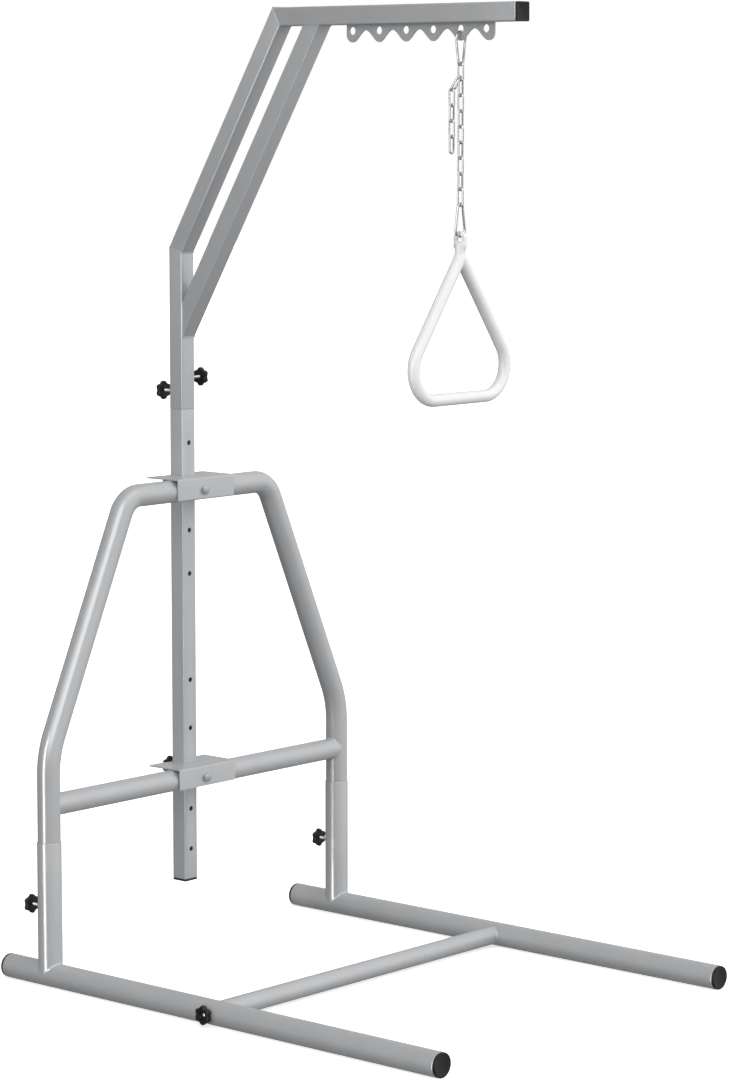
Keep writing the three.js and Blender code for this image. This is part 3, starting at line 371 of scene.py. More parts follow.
def mesh_of(name, shells):
    """One mesh from closed shells in millimetres, with their double points merged and all faces outward."""
    starts = np.cumsum([0] + [len(points) for points, _ in shells])
    points = np.vstack([points for points, _ in shells]) / 1000
    faces = [[start + i for i in face] for start, (_, quads) in zip(starts, shells) for face in quads]
    mesh = bpy.data.meshes.new(name)
    mesh.from_pydata(points, [], faces)
    work = bmesh.new()
    work.from_mesh(mesh)
    bmesh.ops.remove_doubles(work, verts=work.verts, dist=1e-6)
    bmesh.ops.dissolve_degenerate(work, edges=work.edges, dist=1e-7)
    bmesh.ops.recalc_face_normals(work, faces=work.faces)
    work.to_mesh(mesh)
    work.free()
    return mesh


def settle(piece):
    """Puts the result of the piece's modifiers into its mesh."""
    whole = bpy.context.evaluated_depsgraph_get()
    piece.data = bpy.data.meshes.new_from_object(piece.evaluated_get(whole))
    piece.modifiers.clear()


def build(node, shells, cutters=(), bevel=0, also=(), added=(), crossing=False):
    """Makes the piece that stands for a CAD node (and for others named in also), with its holes cut (crossing
    if the cutters cross one another), the added shells put in after that, and its edges rounded by bevel
    millimetres."""
    name = node + "_form"
    piece = bpy.data.objects.new(name, mesh_of(name, shells))
    bpy.context.scene.collection.objects.link(piece)
    if cutters:
        tool = bpy.data.objects.new(name + "_holes", mesh_of(name + "_holes", cutters))
        bpy.context.scene.collection.objects.link(tool)
        holes = piece.modifiers.new("holes", "BOOLEAN")
        holes.object = tool
        holes.use_self = crossing
        settle(piece)
        bpy.data.objects.remove(tool)
    if added:
        work = bmesh.new()
        work.from_mesh(piece.data)
        work.from_mesh(mesh_of(name + "_added", added))
        work.to_mesh(piece.data)
        work.free()
    if bevel:
        rounding = piece.modifiers.new("edges", "BEVEL")
        rounding.width = bevel / 1000
        rounding.segments = 3
        rounding.limit_method = "ANGLE"
        rounding.angle_limit = np.radians(40)
        rounding.harden_normals = True
    piece.data.shade_smooth()
    piece.data.set_sharp_from_angle(angle=np.radians(35))
    piece.data.materials.clear()
    piece.data.materials.append(finish_of_slot[slot_of_node[node]])
    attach(piece, body_of_node[node])
    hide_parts(node, *also)


# ---- Knobs and bolts ----

def knob(face, outward, standoff):
    """Star knob: radius = tip - valley depth * (1 - cos 6a) / 2, less an inset that rounds both edges by a
    quarter circle. Its rows run from the stud's hole over the back and the rim to the front, down into the
    dish and back through the seat of the insert."""
    columns = 144
    a = FULL * np.arange(columns) / columns
    lobed = KNOB_TIP - KNOB_VALLEY * (1 - np.cos(KNOB_LOBES * a)) / 2
    inner = lobed - KNOB_EDGE
    t = np.linspace(0, QUARTER, 7)
    hole, seat = STUD_RADIUS + SEAT_GAP, INSERT_RADIUS + SEAT_GAP
    floor, chamfer = KNOB_THICKNESS - DISH_DEPTH, 0.3
    rows = [(INSERT_COVER, hole), (chamfer, hole), (0, hole + chamfer), (0, (hole + inner) / 2)]
    rows += [(KNOB_EDGE * (1 - np.cos(b)), lobed - KNOB_EDGE * (1 - np.sin(b))) for b in t]
    rows += [(KNOB_THICKNESS - KNOB_EDGE * (1 - np.sin(b)), lobed - KNOB_EDGE * (1 - np.cos(b))) for b in t]
    rows.append((KNOB_THICKNESS, (KNOB_DISH + inner) / 2))
    dish_edge, dish_foot = ((0, 0.7), (0.2, 0.2), (0.7, 0)), ((0.6, 0.5), (0, 1.2))
    rows += [(KNOB_THICKNESS - down, KNOB_DISH + out) for down, out in dish_edge]
    rows += [(floor + up, KNOB_DISH - inward) for up, inward in dish_foot]
    rows += [(floor, seat), (INSERT_COVER, seat)]
    centres = face + np.array([standoff + height for height, _ in rows])[:, None] * outward
    radii = [np.broadcast_to(radius, columns) for _, radius in rows]
    return surface(rings(centres, outward, Z, radii, columns), wrap_rows=True)


def stud(face, outward, standoff, past_face):
    """Threaded stud with the knob's round insert on its end. Thread: radius = outer - depth * w, where w goes
    from 0 to 1 and back once per pitch along the stud, and lags by one pitch for each turn round it. Over the
    first pitch from its tip the crests grow from nothing."""
    sides = 32
    bare = standoff + past_face
    along = np.linspace(-bare, -0.1, int(bare / (THREAD_PITCH / 10)))  # ends just short of the knob
    lag = along[:, None] / THREAD_PITCH - np.arange(sides) / sides
    wave = np.abs(2 * (lag - np.floor(lag)) - 1)
    fade = np.clip((bare + along[:, None]) / THREAD_PITCH, 0, 1)
    radii = STUD_RADIUS - THREAD_DEPTH * (1 - wave * fade)
    end = KNOB_THICKNESS - DISH_DEPTH
    t = np.linspace(0, QUARTER, 7)
    cap = np.array([(-bare, 0), (0, STUD_RADIUS), (INSERT_COVER, STUD_RADIUS), (INSERT_COVER, INSERT_RADIUS)]
                   + [(end - INSERT_DOME * (1 - np.sin(a)), INSERT_RADIUS * np.cos(a)) for a in t])
    heights = np.concatenate([cap[:1, 0], along, cap[1:, 0]])
    radii = np.vstack([np.zeros((1, sides)), radii, np.repeat(cap[1:, 1:], sides, axis=1)])
    centres = face + (standoff + heights)[:, None] * outward
    return surface(rings(centres, outward, Z, radii, sides))


def add_knob(name, face, outward, standoff, past_face):
    """A knob and its stud, the stud's bare length between the knob and the face."""
    face = np.asarray(face, float)
    build(f"{name}_knob", [knob(face, outward, standoff)])
    build(f"{name}_stud", [stud(face, outward, standoff, past_face)])


def bolt(height, end):
    """Hex bolt, its head towards -Y: radius = flat / cos(a from the middle of its side), the outer corners
    fall away at 30 degrees from the circle inside the flats, and the face is a low dome."""
    sides = 72
    a = FULL * np.arange(sides) / sides
    flat = BOLT_FLATS / 2
    corner = flat / np.cos((a + FULL / 12) % (FULL / 6) - FULL / 12)
    drop = (corner - flat) * np.tan(np.radians(30)) + BOLT_EDGE
    face = BRACKET_FRONT - BRACKET_WALL - SEAT_GAP
    crown = flat * 0.97
    length = face - end
    rows = [(crown * np.sin(b) / np.sin(1), BOLT_HEAD + BOLT_DOME * (np.cos(b) - np.cos(1)))
            for b in np.linspace(0, 1, 7)]
    rows += [(corner, BOLT_HEAD - drop), (corner, BOLT_COLLAR + 0.1), (crown, BOLT_COLLAR), (crown, 0),
             (BOLT_RADIUS, 0), (BOLT_RADIUS, length + BOLT_CHAMFER), (BOLT_RADIUS - BOLT_CHAMFER, length),
             (0, length)]
    radii = np.array([np.broadcast_to(radius, sides) for radius, _ in rows], float)
    reach = np.array([np.broadcast_to(level, sides) for _, level in rows])
    points = rings(np.tile([BOLT_X, face, height], (len(rows), 1)), -Y, X, radii, sides)
    points[..., 1] -= reach
    return surface(points)


# ---- Floor stand ----

def floor_cap(side, end):
    """Turned plug: a shallow dish in its face, a flange with a rounded edge, and its body inside the tube."""
    radius = FLOOR_RADIUS - FLOOR_WALL - SEAT_GAP
    t = np.linspace(QUARTER, 0, 7)
    edge = CAP_FLANGE - CAP_EDGE
    profile = [(CAP_PROUD - CAP_HOLLOW, 0), (CAP_PROUD - CAP_HOLLOW, edge - 2), (CAP_PROUD - 0.1, edge - 0.8)]
    profile += [(CAP_PROUD - CAP_EDGE * (1 - np.sin(a)), edge + CAP_EDGE * np.cos(a)) for a in t]
    profile += [(SEAT_GAP, CAP_FLANGE), (SEAT_GAP, radius), (-CAP_DEPTH + CAP_CHAMFER, radius - 0.2),
                (-CAP_DEPTH, radius - CAP_CHAMFER), (-CAP_DEPTH, 0)]
    return turned(profile, (side * FLOOR_AXIS, end * FLOOR_HALF_LENGTH, FLOOR_HEIGHT), end * Y, sides=64)


def saddle(points, centre, keep, along, radius, sign):
    """Slides points along one axis until they lie on a round bar: their distance from its centre along that
    axis = sqrt(radius^2 - keep^2), where keep is their distance from it across. Keep and along are the
    numbers of these two axes, and sign says on which side of the bar."""
    gap = np.sqrt(np.maximum(radius ** 2 - (points[..., keep] - centre[keep]) ** 2, 0))
    points[..., along] = centre[along] + sign * gap
    return points


def seam_fillet(centre, across, up, radius, keep, along, bar_radius, sign):
    """The smooth weld on the line where a round tube that starts at the bar's centre comes out of it."""
    count = 720
    t = FULL * np.arange(count)[:, None] / count
    loop = centre + radius * (np.cos(t) * across + np.sin(t) * up)
    loop = evenly(saddle(loop, centre, keep, along, bar_radius, sign), spacing=1.2)
    normal = np.zeros_like(loop)
    normal[:, [keep, along]] = (loop - centre)[:, [keep, along]]
    return fillet(loop, sign * np.eye(3)[along], unit(normal))


for side_name, side in (("left", -1), ("right", 1)):
    axis = np.array([side * FLOOR_AXIS, 0, FLOOR_HEIGHT])
    reach = FLOOR_HALF_LENGTH * Y
    tube = round_tube(route([axis - reach, axis + reach]), X, FLOOR_RADIUS, FLOOR_WALL, lip_length=END_LIP)
    build(f"{side_name}_floor_tube", [surface(tube, wrap_rows=True)])
    for end_name, end in (("front", -1), ("rear", 1)):
        build(f"{side_name}_{end_name}_cap", [floor_cap(side, end)])

    foot = axis + HOOP_Y * Y
    head = np.array([side * FLOOR_AXIS, HOOP_Y, SOCKET_TOP])
    socket = round_tube(route([foot, head]), Y, SOCKET_RADIUS, SOCKET_WALL)
    saddle(socket[:8], foot, 0, 2, FLOOR_RADIUS, 1)  # the rows of its lower rim
    seam = seam_fillet(foot, X, Y, SOCKET_RADIUS, 0, 2, FLOOR_RADIUS, 1)
    build(f"{side_name}_socket", [surface(socket, wrap_rows=True), seam])
    knob_face = (side * FLOOR_AXIS, HOOP_Y + SOCKET_RADIUS, SOCKET_KNOB)
    add_knob(f"{side_name}_socket", knob_face, Y, SOCKET_STUD, SOCKET_WALL)


def crossbar(height, y, radius, wall, keep, bar_radius):
    """A round tube between two round bars, its ends saddled on to them, with a weld round each end."""
    tube_ends = [(np.array([-FLOOR_AXIS, y, height]), 1), (np.array([FLOOR_AXIS, y, height]), -1)]
    tube = round_tube(route([centre for centre, _ in tube_ends]), Y, radius, wall)
    seams = []
    for rim, (centre, sign) in zip(np.split(tube, 2), tube_ends):
        saddle(rim, centre, keep, 0, bar_radius, sign)
        seams.append(seam_fillet(centre, Y, Z, radius, keep, 0, bar_radius, sign))
    return [surface(tube, wrap_rows=True), *seams]


build("base_crossbar", crossbar(FLOOR_HEIGHT, 0, CROSSBAR_RADIUS, CROSSBAR_WALL, 2, FLOOR_RADIUS))
add_knob("crossbar", (-FLOOR_AXIS - FLOOR_RADIUS, 0, FLOOR_HEIGHT), -X, CROSSBAR_STUD, CROSSBAR_STUD_PAST)

# ---- Hoop frame ----
knee, knee_radius = HOOP_KNEE
top, top_half, top_radius = HOOP_TOP
hoop_line = route(
    [(-FLOOR_AXIS, HOOP_Y, HOOP_FOOT), (-FLOOR_AXIS, HOOP_Y, knee), (-top_half, HOOP_Y, top),
     (top_half, HOOP_Y, top), (FLOOR_AXIS, HOOP_Y, knee), (FLOOR_AXIS, HOOP_Y, HOOP_FOOT)],
    [0, knee_radius, top_radius, top_radius, knee_radius, 0], step=np.radians(2.5))
build("hoop_tube", [surface(round_tube(hoop_line, Y, HOOP_RADIUS, HOOP_WALL), wrap_rows=True)])
build("hoop_crossbar", crossbar(HOOP_BAR_HEIGHT, HOOP_Y, HOOP_BAR_RADIUS, HOOP_WALL, 1, HOOP_RADIUS))


def block(low, high):
    """A box between two corners."""
    (x0, y0, z0), (x1, y1, z1) = low, high
    return loft([[(x0, y0, z), (x1, y0, z), (x1, y1, z), (x0, y1, z)] for z in (z0, z1)])


def bracket(height, tube_radius):
    """A folded sheet: its section goes up the front flange, round the fold's quarter circle, over the top to
    a square corner and down the back, and is carried along X. The cutters leave of the back only a tab behind
    the mast, free it from the sheet by a slit on each side and round its fold."""
    front, rear = BRACKET_FRONT - BRACKET_WALL, BRACKET_REAR + BRACKET_WALL
    crown, bottom = height + tube_radius + SEAT_GAP + BRACKET_WALL, height - BRACKET_DROP
    t = np.linspace(0, QUARTER, 7)
    outline = [(front, bottom)]
    outline += [(front + BRACKET_FOLD * (1 - np.cos(a)), crown - BRACKET_FOLD * (1 - np.sin(a))) for a in t]
    outline += [(rear, crown), (rear, bottom), (BRACKET_REAR, bottom)]
    inner = BRACKET_FOLD - BRACKET_WALL
    low, high = BRACKET_FRONT + inner, BRACKET_REAR - inner
    under = crown - BRACKET_WALL - inner
    outline += [(high + inner * np.cos(a), under + inner * np.sin(a)) for a in t]
    outline += [(low - inner * np.cos(a), under + inner * np.sin(a)) for a in t[::-1]]
    outline += [(BRACKET_FRONT, bottom)]
    section = np.array(outline)
    sheet = loft([np.column_stack([np.full(len(section), x), section]) for x in
                  (-BRACKET_HALF_WIDTH, BRACKET_HALF_WIDTH)])
    fold = [(rear - BRACKET_FOLD * (1 - np.cos(a)), crown - BRACKET_FOLD * (1 - np.sin(a))) for a in t]
    fold += [(rear - BRACKET_FOLD, crown + NEAR), (rear + NEAR, crown + NEAR),
             (rear + NEAR, crown - BRACKET_FOLD)]
    cutters = [loft([[(x, y, z) for y, z in fold] for x in (-TAB_HALF_WIDTH - 1, TAB_HALF_WIDTH + 1)])]
    for side in (-1, 1):
        edges = sorted((side * TAB_HALF_WIDTH, side * (BRACKET_HALF_WIDTH + PAST)))
        slit = sorted((side * TAB_HALF_WIDTH, side * (TAB_HALF_WIDTH + TAB_SLIT)))
        cutters += [block((edges[0], BRACKET_REAR - NEAR, bottom - PAST),
                          (edges[1], rear + PAST, crown - BRACKET_WALL)),
                    block((slit[0], rear - BRACKET_FOLD, crown - PAST), (slit[1], rear + PAST, crown + PAST))]
    return sheet, cutters


def mast_window(height, tube_radius):
    """The opening in the bracket's top that the mast passes through, with rounded corners at its front."""
    crown = height + tube_radius + SEAT_GAP
    front = MAST_Y - SIDE / 2 - SEAT_GAP
    half = SIDE / 2 + SEAT_GAP
    t = np.linspace(0, QUARTER, 6)
    outline = [(half - WINDOW_CORNER * (1 - np.sin(a)), front + WINDOW_CORNER * (1 - np.cos(a))) for a in t]
    outline = [(-x, y) for x, y in outline[::-1]] + outline
    outline += [(half, BRACKET_REAR), (-half, BRACKET_REAR)]
    depth = PAST + 1
    return loft([[(x, y, z) for x, y in outline] for z in (crown - depth, crown + depth)])


for name, height, tube_radius in (("upper", top, HOOP_RADIUS), ("lower", HOOP_BAR_HEIGHT, HOOP_BAR_RADIUS)):
    sheet, cuts = bracket(height, tube_radius)
    cuts.append(mast_window(height, tube_radius))
    build(f"{name}_bracket", [sheet], cutters=cuts, bevel=1.1, crossing=True)
    build(f"{name}_bracket_bolt", [bolt(height, HOOP_Y)])
add_knob("bracket", (0, BRACKET_REAR + BRACKET_WALL, BRACKET_KNOB), Y, BRACKET_STUD, BRACKET_STUD_PAST)

# ---- Mast ----
mast_foot, mast_head = np.array([0, MAST_Y, MAST_BOTTOM]), np.array([0, MAST_Y, MAST_TOP])
mast_holes = [drill((0, MAST_Y, height), Y, MAST_HOLE_RADIUS, half_length=30)
              for height in (*LOWER_HOLES, LONE_HOLE, *UPPER_HOLES)]
build("mast_tube", [square_tube(mast_foot, mast_head, Z, Z)], cutters=mast_holes)


def square_plug(foot, way, flange):
    """Square plug: its body inside the tube, then a flange whose face has rounded edges."""
    body = SIDE - 2 * WALL - 2 * SEAT_GAP
    t = np.linspace(0, QUARTER, 5)
    rows = [(-PLUG_DEPTH, body - 2, 1.5), (-PLUG_DEPTH + 1, body, WALL), (0, body, WALL),
            (0, SIDE - 0.4, CORNER)]  # reach, side and corner radius
    rows += [(flange - PLUG_EDGE * (1 - np.sin(a)), SIDE - 2 * PLUG_EDGE * (1 - np.cos(a)), CORNER)
             for a in t]
    rows += [(flange, SIDE - 5, CORNER), (flange - 0.4, SIDE - 6.5, CORNER)]  # down into the dish in its face
    return loft([outline_row(square(side, corner), foot + reach * way, way, way)
                 for reach, side, corner in rows])


build("mast_plug", [square_plug(mast_foot - SEAT_GAP * Z, -Z, MAST_PLUG_FLANGE)])

# ---- Boom ----
diagonal_way = np.array([0, -np.sin(LEAN), np.cos(LEAN)])
bend_normal, corner_normal = unit(diagonal_way + Z), unit(diagonal_way - Y)
bend, corner_point = np.array([0, MAST_Y, BEND_HEIGHT]), np.array([0, CORNER_Y, ARM_HEIGHT])
half_gap = SEAT_GAP / 2
bend_seam = evenly(outline_row(square(SIDE, CORNER), bend, Z, bend_normal))
corner_seam = evenly(outline_row(square(SIDE, CORNER), corner_point, -Y, corner_normal))
build("boom_upright", [square_tube(mast_head + SEAT_GAP * Z, bend - half_gap * Z, Z, bend_normal),
                       weld(bend_seam)])
build("boom_diagonal", [square_tube(bend + half_gap * diagonal_way, corner_point - half_gap * diagonal_way,
                                    bend_normal, corner_normal)])
arm_end = np.array([0, ARM_FRONT + END_CAP_FLANGE, ARM_HEIGHT])
arm = square_tube(corner_point - half_gap * Y, arm_end + SEAT_GAP * Y, corner_normal, Y, lip=LIP_SHARE)
build("boom_arm", [arm, weld(corner_seam)])
build("boom_end_cap", [square_plug(arm_end, -Y, END_CAP_FLANGE)])

brace_side = np.array([0, -np.cos(LEAN), -np.sin(LEAN)])
brace_line = bend + BRACE_OFFSET * brace_side
brace_foot_y, brace_head_z = MAST_Y - SIDE / 2 - SEAT_GAP, ARM_HEIGHT - SIDE / 2 - SEAT_GAP
brace_foot = brace_line + diagonal_way * (brace_foot_y - brace_line[1]) / diagonal_way[1]
brace_head = brace_line + diagonal_way * (brace_head_z - brace_line[2]) / diagonal_way[2]
brace_outline = square(SIDE, BRACE_CORNER)
seams = [evenly(outline_row(brace_outline, brace_foot, diagonal_way, Y)),
         evenly(outline_row(brace_outline, brace_head, diagonal_way, Z))]
build("boom_brace", [square_tube(brace_foot, brace_head, Y, Z, corner=BRACE_CORNER), *map(weld, seams)])
add_knob("boom_rear", (0, MAST_Y + SIDE / 2, REAR_KNOB), Y, REAR_STUD, WALL)
add_knob("boom_side", (SIDE / 2, MAST_Y, SIDE_KNOB), X, SIDE_STUD, WALL)


def hanger_plate():
    """A flat plate whose lower edge is a wave: depth = mean + swing * cos(full turn * distance from a lobe /
    pitch), with a quarter circle at each end."""
    mean, swing = (PLATE_LOBE + PLATE_VALLEY) / 2, (PLATE_LOBE - PLATE_VALLEY) / 2
    y = np.linspace(PLATE_LOBES[0], PLATE_LOBES[-1], 200)
    wave = PLATE_TOP - mean - swing * np.cos(FULL * (y - PLATE_LOBES[0]) / PLATE_PITCH)
    t = np.linspace(0, QUARTER, 14)[:-1]
    inset, rise = PLATE_END * np.cos(t), PLATE_TOP - PLATE_LOBE + PLATE_END * (1 - np.sin(t))
    rear_arc = np.column_stack([PLATE_LOBES[0] + inset, rise])
    front_arc = np.column_stack([PLATE_LOBES[-1] - inset, rise])[::-1]
    outline = np.vstack([[(PLATE_LOBES[0] + PLATE_END, PLATE_TOP)], rear_arc, np.column_stack([y, wave]),
                         front_arc, [(PLATE_LOBES[-1] - PLATE_END, PLATE_TOP)]])
    half = PLATE_THICKNESS / 2
    return loft([np.column_stack([np.full(len(outline), x), outline]) for x in (-half, half)])


plate_holes = [drill((0, y, PLATE_HOLE_HEIGHT), X, PLATE_HOLE_RADIUS, half_length=5, sides=40)
               for y in PLATE_HOLES]
build("hanger_plate", [hanger_plate()], cutters=plate_holes, bevel=0.4)

# ---- Carabiners ----
WIDE_CENTRE = -WIDE_RADIUS
NARROW_CENTRE = NARROW_RADIUS + 2 * WIRE - CARABINER_LENGTH
TILT = np.arcsin((WIDE_RADIUS - NARROW_RADIUS) / (WIDE_CENTRE - NARROW_CENTRE))
side_top = np.array([WIDE_RADIUS * np.cos(TILT), 0, WIDE_CENTRE + WIDE_RADIUS * np.sin(TILT)])
side_bottom = np.array([NARROW_RADIUS * np.cos(TILT), 0, NARROW_CENTRE + NARROW_RADIUS * np.sin(TILT)])
gate_way = unit(side_top - side_bottom)
hinge = side_bottom + HINGE_SHARE * (side_top - side_bottom)
nose = side_bottom + NOSE_SHARE * (side_top - side_bottom)


def arc_line(height, radius, start, end, count):
    """Points of an arc in the XZ plane and their directions. The points are height * Z + radius *
    (cos t * X + sin t * Z)."""
    t = np.linspace(start, end, count)[:, None]
    return height * Z + radius * (np.cos(t) * X + np.sin(t) * Z), -np.sin(t) * X + np.cos(t) * Z


def placed(shell, foot, flipped=False):
    """A shell moved to its foot, turned over about X first if flipped."""
    points, faces = shell
    return points * ([1, -1, -1] if flipped else [1, 1, 1]) + foot, faces


def carabiner_wire():
    """The hook's wire: from the nose round the wide end, down the back and round the narrow end to the hinge.
    Both ends are pressed flat, so their rows shrink across the gate."""
    wide = arc_line(WIDE_CENTRE, WIDE_RADIUS, -TILT, np.pi + TILT, 40)
    narrow = arc_line(NARROW_CENTRE, NARROW_RADIUS, np.pi + TILT, FULL - TILT, 28)
    # Rows of the pressed ends: reach along the gate, share left of the thickness, and radius
    at_nose = np.array([(-5.2, 0.5, 0), (-5.2, 0.5, 1.5), (-4.6, 0.5, 1.9), (-3.2, 0.5, 1.9),
                        (-2.4, 0.5, 1.3), (-0.6, 0.8, 1.6), (0, 1, 2.3), (2, 1, WIRE)])
    at_hinge = np.array([(-5, 1, WIRE), (-4, 1, WIRE), (-2.8, 0.5, 2.1), (-1, 0.32, 2), (1.2, 0.32, 2),
                         (2, 0.32, 1.2), (2, 0.32, 0)])
    between = np.tile([0, 1, WIRE], (len(wide[0]) + len(narrow[0]), 1))
    points = np.vstack([nose + at_nose[:, :1] * gate_way, wide[0], narrow[0],
                        hinge + at_hinge[:, :1] * gate_way])
    ways = np.vstack([np.tile(gate_way, (len(at_nose), 1)), wide[1], narrow[1],
                      np.tile(gate_way, (len(at_hinge), 1))])
    rows = np.vstack([at_nose, between, at_hinge])
    return surface(rings(points, ways, rows[:, 1:2] * Y, rows[:, 2], sides=20))


def carabiner_gate():
    """The gate: a round rod with domed ends. Boxes cut the slot for each flat end of the wire."""
    length = np.linalg.norm(nose - hinge) - SEAT_GAP
    t = np.linspace(0, QUARTER, 6)
    low = [(-GATE_TAIL + GATE_DOME * (1 - np.cos(a)), WIRE * np.sin(a)) for a in t]
    high = [(length - GATE_EDGE * (1 - np.cos(a)), WIRE - GATE_EDGE * (1 - np.sin(a))) for a in t[::-1]]
    high.append((length, 0))
    return turned(low + high, hinge, gate_way, sides=24)


def slot_box(low, high, half_width):
    """A box along the gate, from low to high as measured from the hinge, that reaches out past the rod."""
    out, deep = np.cross(Y, gate_way), 4
    corners = [(-deep, -half_width), (deep, -half_width), (deep, half_width), (-deep, half_width)]
    return loft([[hinge + reach * gate_way + a * out + b * Y for a, b in corners] for reach in (low, high)])


def hinge_pin():
    """Rivet through the gate's ears, with a domed head on each side."""
    t = np.linspace(0, QUARTER, 5)
    head = [(PIN_REACH - PIN_DOME * (1 - np.cos(a)), PIN_HEAD * np.sin(a)) for a in t]
    shank = [(-2, PIN_RADIUS), (2, PIN_RADIUS)]
    return turned([(-height, radius) for height, radius in head] + shank + head[::-1], hinge, Y, sides=20)


gate_length = np.linalg.norm(nose - hinge)
gate_slots = [slot_box(-4, 3.4, half_width=1.1),
              slot_box(gate_length - 5.9, gate_length + 3, half_width=1.25)]
for name, height, flipped in (("top", TOP_WIRE, False), ("lower", LOWER_WIRE, True)):
    foot = (0, CHAIN_Y, height)
    build(f"{name}_carabiner", [placed(carabiner_wire(), foot, flipped)])
    build(f"{name}_gate", [placed(carabiner_gate(), foot, flipped)],
          cutters=[placed(box, foot, flipped) for box in gate_slots],
          added=[placed(hinge_pin(), foot, flipped)])


# ---- Chain ----

def link():
    """Chain link in the XZ plane, its origin at the middle of its upper wire: two half circles and two
    straight sides, the wire slightly thicker where one side is welded: radius * (1 + swell * exp(-(distance
    along it from the weld / swell's length)^2))."""
    upper = arc_line(-LINK_BEND, LINK_BEND, 0, np.pi, 17)
    lower = arc_line(LINK_BEND - LINK_DROP, LINK_BEND, np.pi, FULL, 17)
    z = np.linspace(LINK_BEND - LINK_DROP, -LINK_BEND, 18)[1:-1, None]
    left, right = -LINK_BEND * X + z[::-1] * Z, LINK_BEND * X + z * Z
    points = np.vstack([upper[0], left, lower[0], right])
    ways = np.vstack([upper[1], np.tile(-Z, (len(z), 1)), lower[1], np.tile(Z, (len(z), 1))])
    radius = np.full(len(points), float(LINK_WIRE))
    radius[-len(z):] *= 1 + LINK_SWELL * np.exp(-((z[:, 0] + LINK_DROP / 2) / LINK_SWELL_LENGTH) ** 2)
    return surface(rings(points, ways, Y, radius, sides=16), wrap_rows=True)


def hung(foot, turned_round, slant=0):
    """A link hung at its foot, in the YZ plane if turned round, and slanted about X."""
    points, faces = link()
    if turned_round:
        points = points[:, [1, 0, 2]] * [-1, 1, 1]
    cos, sin = np.cos(slant), np.sin(slant)
    return points @ np.array([[1, 0, 0], [0, cos, sin], [0, -sin, cos]]) + foot, faces


for i in range(9):
    build(f"chain_link_{i + 1}", [hung((0, CHAIN_Y, FIRST_LINK - i * LINK_PITCH), i % 2 == 0)])
build("tail_link_1", [hung(TAIL_WIRE, False, TAIL_SLANT)])
for i in range(4):
    build(f"tail_link_{i + 2}", [hung((0, TAIL_Y, TAIL_TOP - i * LINK_PITCH), i % 2 == 0)])

# ---- Handle ----

def handle():
    """The grip and its eye as overlapping bars: a round bar bent to a triangle, whose sides run together at
    the top, a neck, and a flat tab with a rounded head."""
    reach = GRIP_HALF_BAR + GRIP_CORNER * np.tan((QUARTER + GRIP_LEAN) / 2)
    middle = np.array([0, CHAIN_Y, BAR_HEIGHT])
    rise = reach / np.tan(GRIP_LEAN)
    apex = middle + rise * Z
    overlap = 8
    shells = []
    for side in (-1, 1):
        corner = middle + side * reach * X
        line = route([middle - side * overlap * X, corner, apex], [0, GRIP_CORNER, 0], step=np.radians(3))
        shells.append(capped_bar(line, GRIP_RADIUS))
    length = NECK_TOP - GRIP_TOP + NECK_SUNK
    neck = [(0, 0), (0, NECK_RADIUS), (length, NECK_RADIUS), (length, 0)]
    shells.append(turned(neck, (0, CHAIN_Y, GRIP_TOP - NECK_SUNK), Z))
    t = np.linspace(0, np.pi, 40)
    shoulder, root = NECK_TOP - EYE_SHOULDER, NECK_TOP - EYE_ROOT
    head = np.column_stack([EYE_RADIUS * np.cos(t), EYE_HEIGHT + EYE_RADIUS * np.sin(t)])
    tab = np.vstack([[(NECK_RADIUS - 1, root), (EYE_RADIUS, shoulder)], head,
                     [(-EYE_RADIUS, shoulder), (-NECK_RADIUS + 1, root)]])
    shells.append(loft([np.column_stack([np.full(len(tab), x), tab[:, 0] + CHAIN_Y, tab[:, 1]])
                        for x in (-EYE_HALF_THICKNESS, EYE_HALF_THICKNESS)]))
    return shells


def capped_bar(line, radius, sides=48):
    """A round bar along a line with flat ends."""
    points, ways = (np.vstack([rows[:1], rows, rows[-1:]]) for rows in line)
    radii = np.full(len(points), float(radius))
    radii[[0, -1]] = 0
    return surface(rings(points, ways, Y, radii, sides))


def fuse(shells, voxel, passes):
    """Fuses overlapping shells on a voxel grid and relaxes the result, so that inner corners fill softly."""
    blank = bpy.data.objects.new("blank", mesh_of("blank", shells))
    bpy.context.scene.collection.objects.link(blank)
    remesh = blank.modifiers.new("fuse", "REMESH")
    remesh.mode = "VOXEL"
    remesh.voxel_size = voxel / 1000
    relax = blank.modifiers.new("relax", "SMOOTH")
    relax.iterations = passes
    settle(blank)
    mesh = blank.data
    points = np.empty(len(mesh.vertices) * 3)
    mesh.vertices.foreach_get("co", points)
    faces = [list(face.vertices) for face in mesh.polygons]
    bpy.data.objects.remove(blank)
    return points.reshape(-1, 3) * 1000, faces


eye_hole = drill((0, CHAIN_Y, EYE_HEIGHT), X, EYE_HOLE_RADIUS, half_length=20, sides=40)
build("handle_grip", [fuse(handle(), voxel=1.5, passes=10)], cutters=[eye_hole], also=["handle_eye"])

# ---- CAD nodes that stay: those inside other pieces ----
for node in ("crossbar_end_nut", "upper_bracket_nut", "lower_bracket_nut", "mast_spigot"):
    mesh = frame["nodes"][node].data
    mesh.materials.clear()
    mesh.materials.append(finish_of_slot[slot_of_node[node]])

